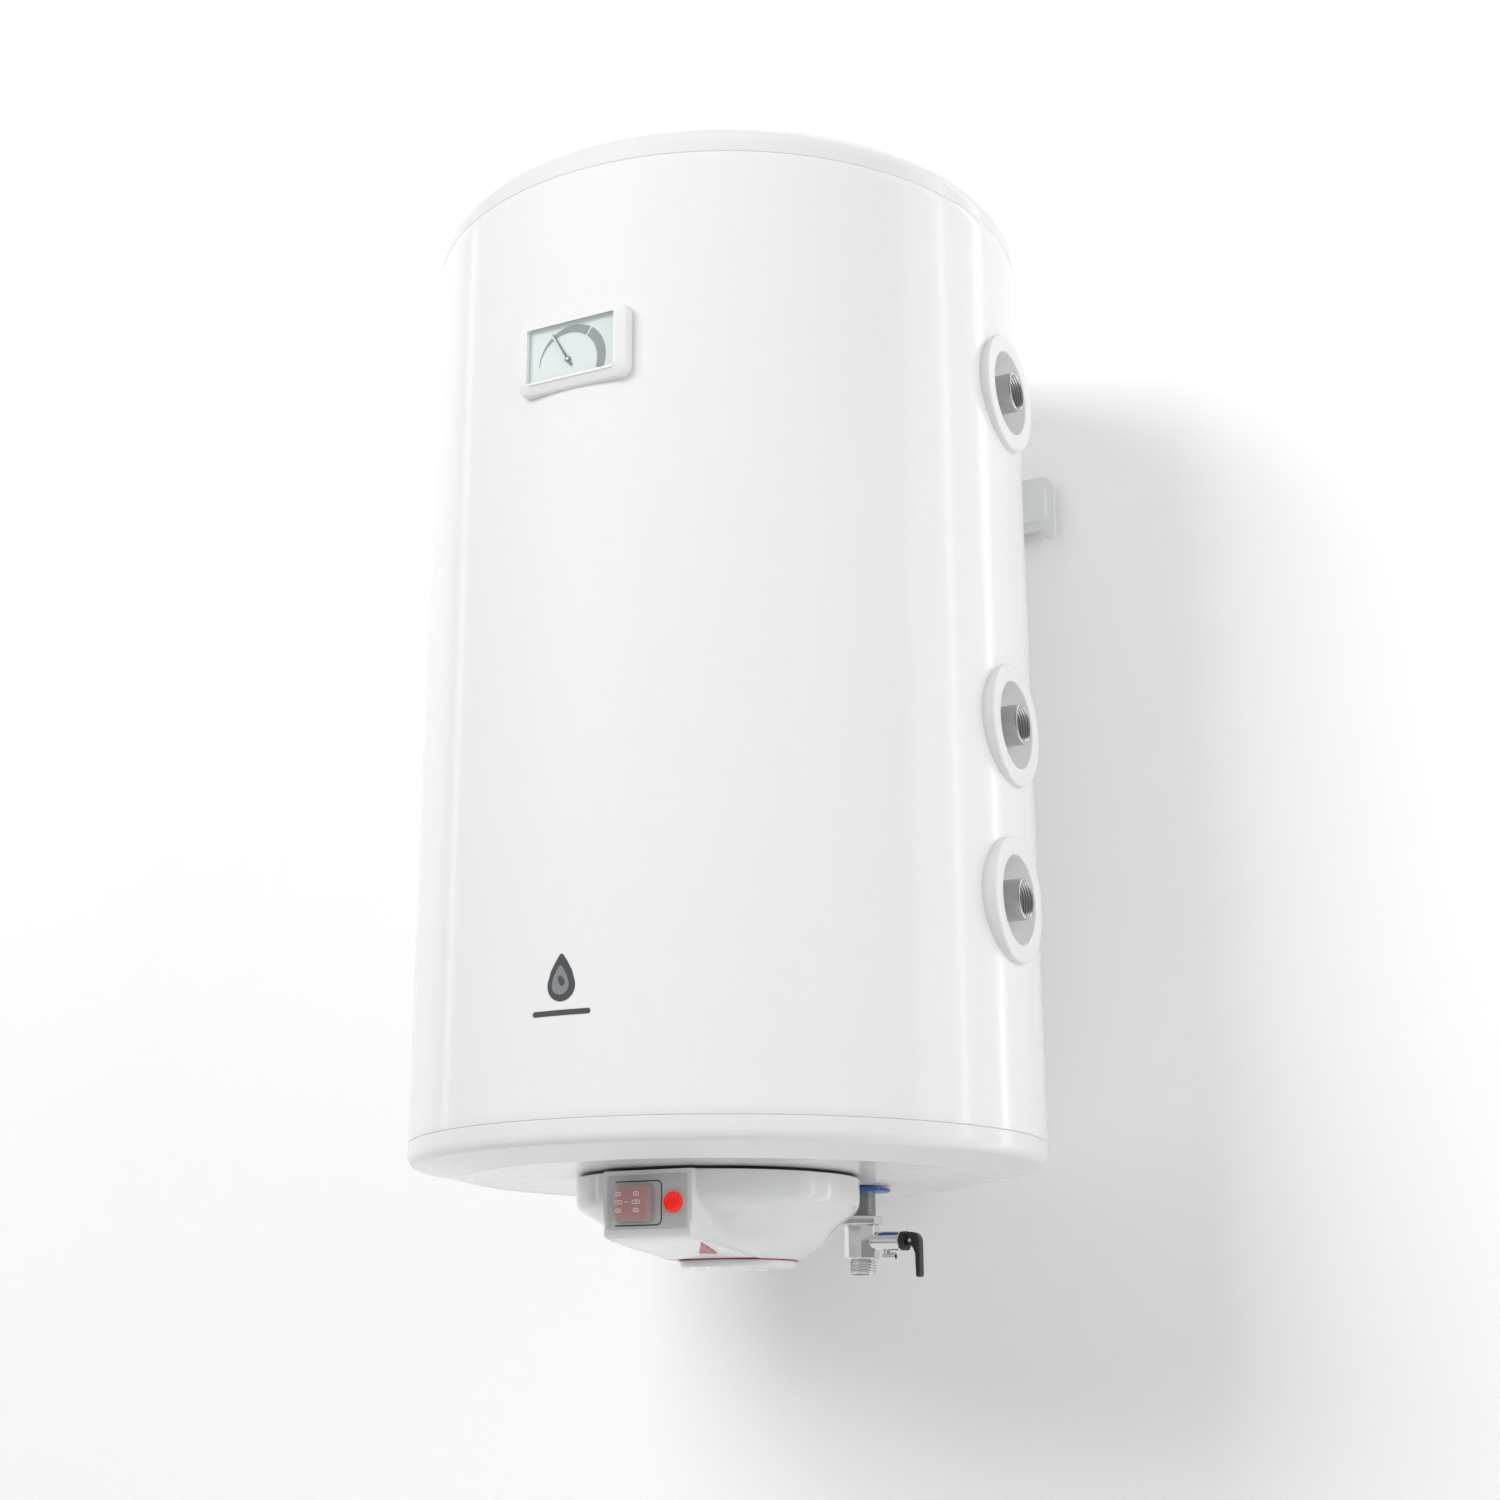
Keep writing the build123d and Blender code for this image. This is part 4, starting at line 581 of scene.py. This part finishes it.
print("cover")
coverSet = dict(
    steps=288,
    thick=2.4,
    # half width and softness of the prow's edges; its flat front, and the part that it covers
    half=33,
    edgeBlend=1.6,
    flat=111.1,
    flatHalf=31.5,
    flatLow=-64,
    # extra thickness of the floor, for levels lower than this height
    floor=(1.6, -50),
    # azimuth from the front, height, half height, half width in degrees, how far out; each one slopes
    lobes=[
        (118, -50, 6, 50, 3.2),
        (56, -58.5, 4.5, 16, -3.4),
        (72, -50, 3.5, 26, 1.2),
        (-62, -57, 5, 16, -2.6),
    ],
    slope=0.09,
    # height, radius, centre from the drum's axis, how far forward the prow reaches, softness of the join
    levels=[
        (-22.75, 96.6, -14, 111.2, 2.5),
        (-23.2, 97, -14, 111.6, 2.5),
        (-28, 97, -14, 111.6, 2.5),
        (-33, 97, -14, 111.6, 3),
        (-37, 96.9, -14, 111.6, 4),
        (-40, 96.3, -14, 111.6, 6),
        (-42.6, 95, -14, 111.6, 8),
        (-44.8, 92.6, -14, 111.6, 10),
        (-46.6, 89.6, -13.8, 111.6, 12),
        (-48.6, 86.4, -13.6, 111.6, 13),
        (-51, 83, -13.2, 111.6, 14),
        (-54, 80, -12.8, 111.6, 14),
        (-57.5, 77.4, -12, 111.6, 14),
        (-61, 74.8, -10.6, 111.5, 13),
        (-63.4, 72.6, -9, 111.2, 12),
        (-64.8, 70.8, -7.6, 110, 11),
        (-66, 69, -6.2, 107, 11),
        (-67.4, 66.4, -4.4, 100, 10),
        (-68.8, 63.2, -2.2, 88, 10),
        (-70.4, 58.8, 1.4, 72, 8),
        (-72, 54, 5, 56, 7),
        (-73.4, 49.6, 8.6, 44, 5),
        (-74.6, 45.6, 12, 36, 3),
        (-75.3, 43.6, 13.6, 31, 2),
        (-75.6, 42.4, 14.6, 28, 1.5),
        (-75.4, 41.6, 15.4, 26, 1),
    ],
)


def softMax(a, b, blend):
    mix = max(blend - abs(a - b), 0) / blend
    return max(a, b) + mix * mix * blend / 4


def coverRing(height, radius, centre, reach, blend, inset=0):
    # a circle with a flat-fronted prow, as seen from the circle's centre
    points = []
    for i in range(coverSet["steps"]):
        turn = -pi / 2 + 2 * pi * i / coverSet["steps"]
        azimuth = (degrees(turn) + 270) % 360 - 180
        fromFront = abs(radians(azimuth))
        size = radius - inset
        if fromFront < pi / 2 - 0.05 and reach + centre > 1:
            ahead = (reach + centre - inset) / cos(fromFront)
            across = (coverSet["half"] - inset) / max(sin(fromFront), 1e-4)
            size = softMax(size, -softMax(-ahead, -across, coverSet["edgeBlend"]), blend)
        # a fuller shoulder, and a long scoop in the belly of each flank
        for away, up, tall, wide, push in coverSet["lobes"]:
            slope = coverSet["slope"] * (1 if away > 0 else -1)
            u, v = (azimuth - away) / wide, (height - up - slope * (azimuth - away)) / tall
            size += push * exp(-u * u - v * v)
        x, y = size * cos(turn), centre + size * sin(turn)
        if abs(x) < coverSet["flatHalf"] and height > coverSet["flatLow"]:
            y = max(y, inset - coverSet["flat"])
        points.append((x, y, height))
    return points


outside = [coverRing(*level) for level in coverSet["levels"]]
rise, riseBelow = coverSet["floor"]
inside = []
for height, *rest in coverSet["levels"]:
    inside.append(coverRing(height + (rise if height < riseBelow else 0), *rest, coverSet["thick"]))
place("cover_shell", stacked(outside + inside[::-1], loop=True), "white_cover", "control_cover", angle=38)

# red window in the underside of the keel
wedgeSet = dict(corners=[(4, -48, -72.9), (29, -91, -68.5), (16.5, -45.5, -73.2)], proud=0.5, thick=1.5)
wedge = [[(x, y, z + up) for x, y, z in wedgeSet["corners"]] for up in (-wedgeSet["proud"], wedgeSet["thick"])]
place("keel_window", stacked(wedge), "red_trim", angle=30)

print("knob")
# a slightly domed disc, and the thin ring over it
knobSet = dict(radius=40.5, centre=16, top=-76, bottom=-81, edge=3.4, dome=0.0006, stem=9, stemTop=-70)
r, e, top, bottom = (knobSet[key] for key in ("radius", "edge", "top", "bottom"))
profile = [(s, bottom + knobSet["dome"] * s) for s in (0, 10, 20, 30)]
profile += arc(r - e, bottom + e, e, -90, 0, 8) + [(r, top - 0.4), (r - 0.5, top)]
profile += [(knobSet["stem"], top), (knobSet["stem"], knobSet["stemTop"]), (0, knobSet["stemTop"])]
disc = around(profile, 128, 0, knobSet["centre"])
place("knob_disc", disc, "white_cover", "thermostat_knob", body="knob", angle=35)
ring = [(36.5, -76), (41.2, -76), (41.45, -75.8), (41.45, -75.55), (41.2, -75.4), (36.5, -75.4)]
place("knob_trim", around(ring, 128, 0, knobSet["centre"], closed=True), "red_trim", "knob_ring")

print("panel")
panelSet = dict(front=111.6, size=(59.8, 34.6, 2), centre=-43.1, thick=2.5, proud=0.05)
switchSet = dict(x=-8.5, z=-44, hole=(26.7, 23.1, 0.4))
lampSet = dict(x=20, z=-44, hole=5.3)
front = panelSet["front"]
switchAt = (switchSet["x"], switchSet["z"])
holes = [rounded(*switchSet["hole"], *switchAt, 3), circle(lampSet["x"], lampSet["z"], lampSet["hole"], 32)]
thick = panelSet["thick"]
plate = slab(rounded(*panelSet["size"], 0, panelSet["centre"]), 0, thick + panelSet["proud"], 0.3, holes)
place("panel_plate", turned(plate, "front", 0, thick - front, 0), "pale_panel", "control_panel", angle=35)


def track(points, width):
    # outline of a line of this width along open points
    left, right = [], []
    for i, (x, z) in enumerate(points):
        (ax, az), (bx, bz) = points[max(i - 1, 0)], points[min(i + 1, len(points) - 1)]
        size = hypot(bx - ax, bz - az)
        nx, nz = -(bz - az) / size * width / 2, (bx - ax) / size * width / 2
        left.append((x + nx, z + nz))
        right.append((x - nx, z - nz))
    return left + right[::-1]


# printed line around the switch, open on the left
lineSet = dict(left=-23.5, right=7.6, top=-33.4, bottom=-54.5, corner=3.5, bend=4, width=0.8, ink=0.12)
right, bend, corner = lineSet["right"], lineSet["bend"], lineSet["corner"]
lineTop, lineBottom = lineSet["top"] + corner, lineSet["bottom"] - corner
line = [(lineSet["left"], lineTop), (bend, lineTop)] + arc(right, lineSet["top"], corner, 90, 0, 8)
line += arc(right, lineSet["bottom"], corner, 0, -90, 8) + [(bend, lineBottom), (lineSet["left"], lineBottom)]
line = turned(slab(track(line, lineSet["width"]), 0, lineSet["ink"]), "front", 0, -front - 0.03, 0)
place("panel_line", line, "black_plastic", angle=35)

hoodSet = dict(size=(27.6, 24.6, 3), low=0.05, proud=8.8, edge=1.3)
hood = rounded(*hoodSet["size"], *switchAt)
hood = slab(hood, hoodSet["low"], hoodSet["proud"], hoodSet["edge"], bevelLow=False)
place("hood", turned(hood, "front", 0, -front, 0), "clear_hood", "switch_hood", angle=50)

# a shallow V on top, narrowing behind the panel
rockerSet = dict(
    top=[(-11.2, -8.2), (-5.6, -7.75), (0, -7.2), (5.6, -7.75), (11.2, -8.2)],
    under=[(9.7, 0), (4, 6), (-4, 6), (-9.7, 0)],
    half=10,
    edge=0.7,
    tilt=9,
    pivot=3,
)
rocker = slab(rockerSet["top"] + rockerSet["under"], -rockerSet["half"], rockerSet["half"], rockerSet["edge"])
tilt = Matrix.Rotation(radians(-rockerSet["tilt"]), 4, "Z")
pivot = Matrix.Translation((switchSet["x"], rockerSet["pivot"] - front, switchSet["z"]))
bmesh.ops.transform(rocker, matrix=pivot @ tilt, verts=rocker.verts)
place("rocker_key", rocker, "red_rocker", "rocker", body="rocker", angle=40)

# plain outlined pills with a dash in each, in two columns
symbolSet = dict(
    columns=((-16.2, (4.4, 6.0, 4.4)), (-3.0, (4.4, 6.2, 4.4))),
    rows=(5.6, 0.4, -4.8),
    tall=2.5,
    line=0.4,
    link=(3.2, -10.2),
    ink=(0.08, 0.06),
)
tall, width = symbolSet["tall"], symbolSet["line"]
pillInk, dashInk = symbolSet["ink"]
symbols = []
for x, widths in symbolSet["columns"]:
    for row, wide in zip(symbolSet["rows"], widths):
        z = switchSet["z"] + row
        hole = rounded(wide - 2 * width, tall - 2 * width, tall / 2 - 0.42, x, z)
        symbols.append(slab(rounded(wide, tall, tall / 2 - 0.01, x, z), 0, pillInk, 0, [hole]))
        symbols.append(slab(rounded(wide * 0.3, width, 0.1, x, z, 2), 0, dashInk))
linkLong, linkX = symbolSet["link"]
link = rounded(linkLong, width, 0.1, linkX, switchSet["z"] + symbolSet["rows"][1], 2)
symbols.append(slab(link, 0, dashInk))
symbols = turned(joined(*symbols), "front", 0, -front - hoodSet["proud"] + 0.02, 0)
place("hood_symbols", symbols, None, angle=40, material=whiteInk)

# hollow dome of the pilot lamp: stem, flange, dome, and the hollow's roof
dome = [(4.05, -4), (5.2, -4), (5.2, 0), (6.75, 0), (6.75, 1.0), (6.6, 1.6), (6.2, 2.3), (5.5, 2.9)]
dome += [(4.4, 3.3), (3, 3.45), (1.5, 3.5), (0, 3.5), (0, 2.2), (4.05, 1.5)]
lens = turned(around(dome, 64), "front", lampSet["x"], -front, lampSet["z"])
place("lamp_cap", lens, "red_lamp", "lamp_lens", angle=35)

print("pipes")
pipeSet = dict(apart=50, behind=112, plain=10.2, bore=8, low=-52, threadTop=-26.5, high=8)
threadSet = dict(radius=10.48, play=0.06, pitch=1.81, root=9.6)


def threaded(low, high, root, pitch=threadSet["pitch"]):
    # the outside of a parallel thread as rounded ridges, from low to high
    crestRadius = threadSet["radius"] - threadSet["play"]
    count = int((high - low) / pitch)
    size = (high - low) / count
    points = [(root, low)]
    for i in range(count):
        at = low + size * i
        points += [(crestRadius, at + size * 0.34), (crestRadius, at + size * 0.66), (root, at + size)]
    return points


behind, low, bore = pipeSet["behind"], pipeSet["low"], pipeSet["bore"]
profile = [(bore, low), (9.3, low)] + threaded(low + 0.6, pipeSet["threadTop"], threadSet["root"])
profile += [(pipeSet["plain"], height) for height in (pipeSet["threadTop"] + 0.5, pipeSet["high"])]
profile += [(bore, pipeSet["high"])]
ring = [(10.3, -24.3), (20.5, -24.3), (21, -24), (21, -22.4), (20.6, -22.1), (10.3, -22.1)]
coldX, hotX = pipeSet["apart"], -pipeSet["apart"]
for name, x in (("cold_inlet_pipe_stub", coldX), ("hot_outlet_pipe_stub", hotX)):
    place(name, around(profile, 96, x, behind, closed=True), "dull_steel", angle=40)
for name, x, slotName in (("cold_ring", coldX, "blue_trim"), ("hot_ring", hotX, "red_trim")):
    place(name + "_disc", around(ring, 96, x, behind, closed=True), slotName, name, angle=40)

print("valve")
# heights from the jacket's lower edge; the branch and the nozzle point right, the lever hangs at its end
valveSet = dict(hexLow=-47.5, hexTop=-41.5, across=27, end=-82.6, bore=6.5, branch=-59.5, nozzle=-70.1, neck=20)
vx, vy, vz = pipeSet["apart"], behind, valveSet["branch"]


def regular(count, across, z=None):
    # a regular polygon by its width across the flats, with a flat to the right
    size = across / 2 / cos(pi / count)
    turns = [pi / count + 2 * pi / count * i for i in range(count)]
    return [(vx + size * cos(t), vy + size * sin(t)) + (() if z is None else (z,)) for t in turns]


hexHole = circle(vx, vy, threadSet["radius"] + 0.05, 48)
nut = slab(regular(6, valveSet["across"]), valveSet["hexLow"], valveSet["hexTop"], 0.7, [hexHole])
bodyLevels = ((22, -71.7), (23.4, -71.0), (23.4, -48.6), (22.4, -47.4))
body = stacked([regular(8, across, z) for across, z in bodyLevels])
upright = [e for e in body.edges if abs(e.verts[0].co.z - e.verts[1].co.z) > 5]
softened(body, upright, 0.5, clamp=False)
end, bore = valveSet["end"], valveSet["bore"]
tail = [(bore, end), (9.4, end)] + threaded(end + 0.6, -72.6, 9.5, 1.6) + [(9.6, -71.2), (bore, -71.2)]
tail = around(tail, 96, vx, vy, closed=True)
branch = [(4.85, 31), (6.35, 31), (6.75, 30.6), (6.75, 12), (7.4, 10.6), (7.6, 9.4)]
branch += [(0, 9.4), (0, 14.9), (4.85, 14.9)]
branch = turned(around(branch, 96), "side", vx, vy, vz)
nozzle = [(1.8, 26.5), (2.6, 26.5), (2.8, 26.3), (2.8, 22.9), (2.6, 22.6), (2.6, 17), (1.8, 17)]
nozzle = turned(around(nozzle, 48, closed=True), "side", vx, vy, valveSet["nozzle"])
neck = around([(0, -70.3), (2.4, -70.3), (2.4, -64), (0, -64)], 32, vx + valveSet["neck"], vy)
valve = joined(nut, body, tail, branch, nozzle, neck)
place("valve_shell", valve, "plated_brass", "valve_body", angle=32)

# blue print along the branch: start, end, and the arc that it covers, with a ragged outer edge
printSet = dict(radius=6.8, notch=1.2, steps=12)
printSet["bands"] = ((14, 17.5, 62, 98), (17, 22, 50, 104), (21.5, 25.5, 58, 92))
bands = []
for start, finishAt, low, high in printSet["bands"]:
    band = bmesh.new()
    rows = []
    for i, (y, z) in enumerate(arc(0, 0, printSet["radius"], low, high, printSet["steps"])):
        far = finishAt - (printSet["notch"] if i % 3 == 0 else 0)
        rows.append([band.verts.new((x, y, z)) for x in (start, far)])
    for a, b in zip(rows, rows[1:]):
        band.faces.new((a[0], a[1], b[1], b[0]))
    bmesh.ops.solidify(band, geom=band.faces[:], thickness=0.05)
    bmesh.ops.translate(band, verts=band.verts, vec=(vx, vy, vz))
    bands.append(band)
place("valve_print", joined(*bands), "blue_trim", angle=40)

# grooved disc at the branch's end
cap = [(0, 31.05), (6.3, 31.05), (6.75, 31.5), (6.75, 33.4), (6.45, 33.7), (6.75, 34), (6.75, 36), (0, 36)]
place("relief_cover", turned(around(cap, 64), "side", vx, vy, vz), "black_plastic", "relief_cap", angle=35)

# lever: a round head about its pin and a long tapered handle, drawn from the pin
leverSet = dict(pin=40, half=4.2, head=6, edge=0.7)
arm = arc(0, 0, leverSet["head"], 200, 20, 16)
arm += [(6.2, 0.8), (6.3, -8), (6.3, -23.6), (5.6, -25.2), (3.9, -25.3), (3.3, -24.4), (2.9, -9)]
arm += [(1.4, -5.4), (0, -3.6), (-3.4, -3.2)]
arm = slab(arm, -leverSet["half"], leverSet["half"], leverSet["edge"])
arm = turned(arm, "front", vx + leverSet["pin"], vy, vz)
place("lever_arm", arm, "black_plastic", "relief_lever", body="lever", angle=40)

# the CAD pieces that stay get their finishes too
print("finishes")
for row in frame["record"]["subparts"]:
    materials = nodes[row["node"]].data.materials
    materials.clear()
    materials.append(finishes[row["material_slot"]])

print("room")
roomSet = dict(half=4500, high=4000, low=-1500, near=-5000, wall=247)
half, low, wallY = roomSet["half"], roomSet["low"], roomSet["wall"]


def plaster(name, colour, glow):
    # flat paint, clear from behind so that the back of the object can be seen through the wall
    material, tree = emptyMaterial(name)
    paint = addNode(tree, "ShaderNodeBsdfDiffuse", {"Color": linear(colour)}).outputs[0]
    light = addNode(tree, "ShaderNodeEmission", {"Color": linear("#ffffff"), "Strength": glow}).outputs[0]
    both = addNode(tree, "ShaderNodeAddShader", {0: paint, 1: light}).outputs[0]
    behindIt = addNode(tree, "ShaderNodeNewGeometry").outputs["Backfacing"]
    gone = addNode(tree, "ShaderNodeBsdfTransparent").outputs[0]
    mixed = addNode(tree, "ShaderNodeMixShader", {0: behindIt, 1: both, 2: gone}).outputs[0]
    addNode(tree, "ShaderNodeOutputMaterial", {0: mixed})
    return material


def sheet(name, corners, material):
    bm = bmesh.new()
    bm.faces.new([bm.verts.new(p) for p in corners])
    meshObject(name, bm, material, closed=False)


left, right = (-half, wallY, low), (half, wallY, low)
upperEdge = [(half, wallY, roomSet["high"]), (-half, wallY, roomSet["high"])]
nearEdge = [(-half, roomSet["near"], low), (half, roomSet["near"], low)]
sheet("wall", [left, right] + upperEdge, plaster("white_wall", "#fafafa", 0.03))
sheet("ground", nearEdge + [right, left], plaster("pale_floor", "#e8e8e8", 0))

world = bpy.data.worlds.new("studio")
bpy.context.scene.world = world
world.use_nodes = True
colour, strength = world.node_tree.nodes["Background"].inputs[:2]
colour.default_value = linear("#ffffff")
strength.default_value = 0.3


def softbox(name, spotAt, aim, wide, tall, power, gloss=True, spread=True):
    # gloss: seen in reflections; spread: lights rough surfaces
    data = bpy.data.lights.new(name, "AREA")
    data.shape = "RECTANGLE"
    data.size, data.size_y = wide * mm, tall * mm
    data.energy = power
    obj = bpy.data.objects.new(name, data)
    start, end = toRow @ Vector(spotAt), toRow @ Vector(aim)
    obj.location = start
    obj.rotation_euler = (end - start).to_track_quat("-Z", "Y").to_euler()
    obj.visible_camera = False
    obj.visible_glossy = gloss
    obj.visible_diffuse = spread
    bpy.context.collection.objects.link(obj)


# three soft lamps for the room, and three narrow strips that only draw streaks in the enamel
lampRows = [
    dict(name="key", spotAt=(-1250, -2700, 1750), aim=(100, 200, 250), wide=2000, tall=1800, power=78),
    dict(name="fill", spotAt=(2300, -900, 500), aim=(0, 0, 300), wide=1500, tall=1800, power=24),
    dict(name="top", spotAt=(200, -900, 2700), aim=(0, 0, 600), wide=1400, tall=1000, power=6),
]
stripRows = [
    dict(name="stripe_a", spotAt=(560, 124, 300), aim=(210, -64, 300), wide=26, tall=1500, power=0.3),
    dict(name="stripe_b", spotAt=(405, 215, 300), aim=(219, -19, 300), wide=22, tall=1500, power=0.3),
    dict(name="stripe_c", spotAt=(-1500, -189, 300), aim=(-113, -189, 300), wide=70, tall=2400, power=1.0),
]
for row in lampRows:
    softbox(**row, gloss=False)
for row in stripRows:
    softbox(**row, spread=False)

print("camera")
# turn and rise in degrees, from the front and from level; shift slides the view sideways
cameraSet = dict(turn=28, rise=15.52, place=(731, -1375, -145), lens=53.16, sensor=36, shift=0.015)
cameraData = bpy.data.cameras.new("view")
cameraData.lens = cameraSet["lens"]
cameraData.sensor_width = cameraSet["sensor"]
cameraData.shift_x = cameraSet["shift"]
cameraData.clip_end = 50
camera = bpy.data.objects.new("view", cameraData)
camera.location = toRow @ Vector(cameraSet["place"])
camera.rotation_euler = (radians(90 + cameraSet["rise"]), 0, radians(cameraSet["turn"]))
bpy.context.collection.objects.link(camera)
bpy.context.scene.camera = camera
bpy.context.scene.view_settings.view_transform = "Standard"
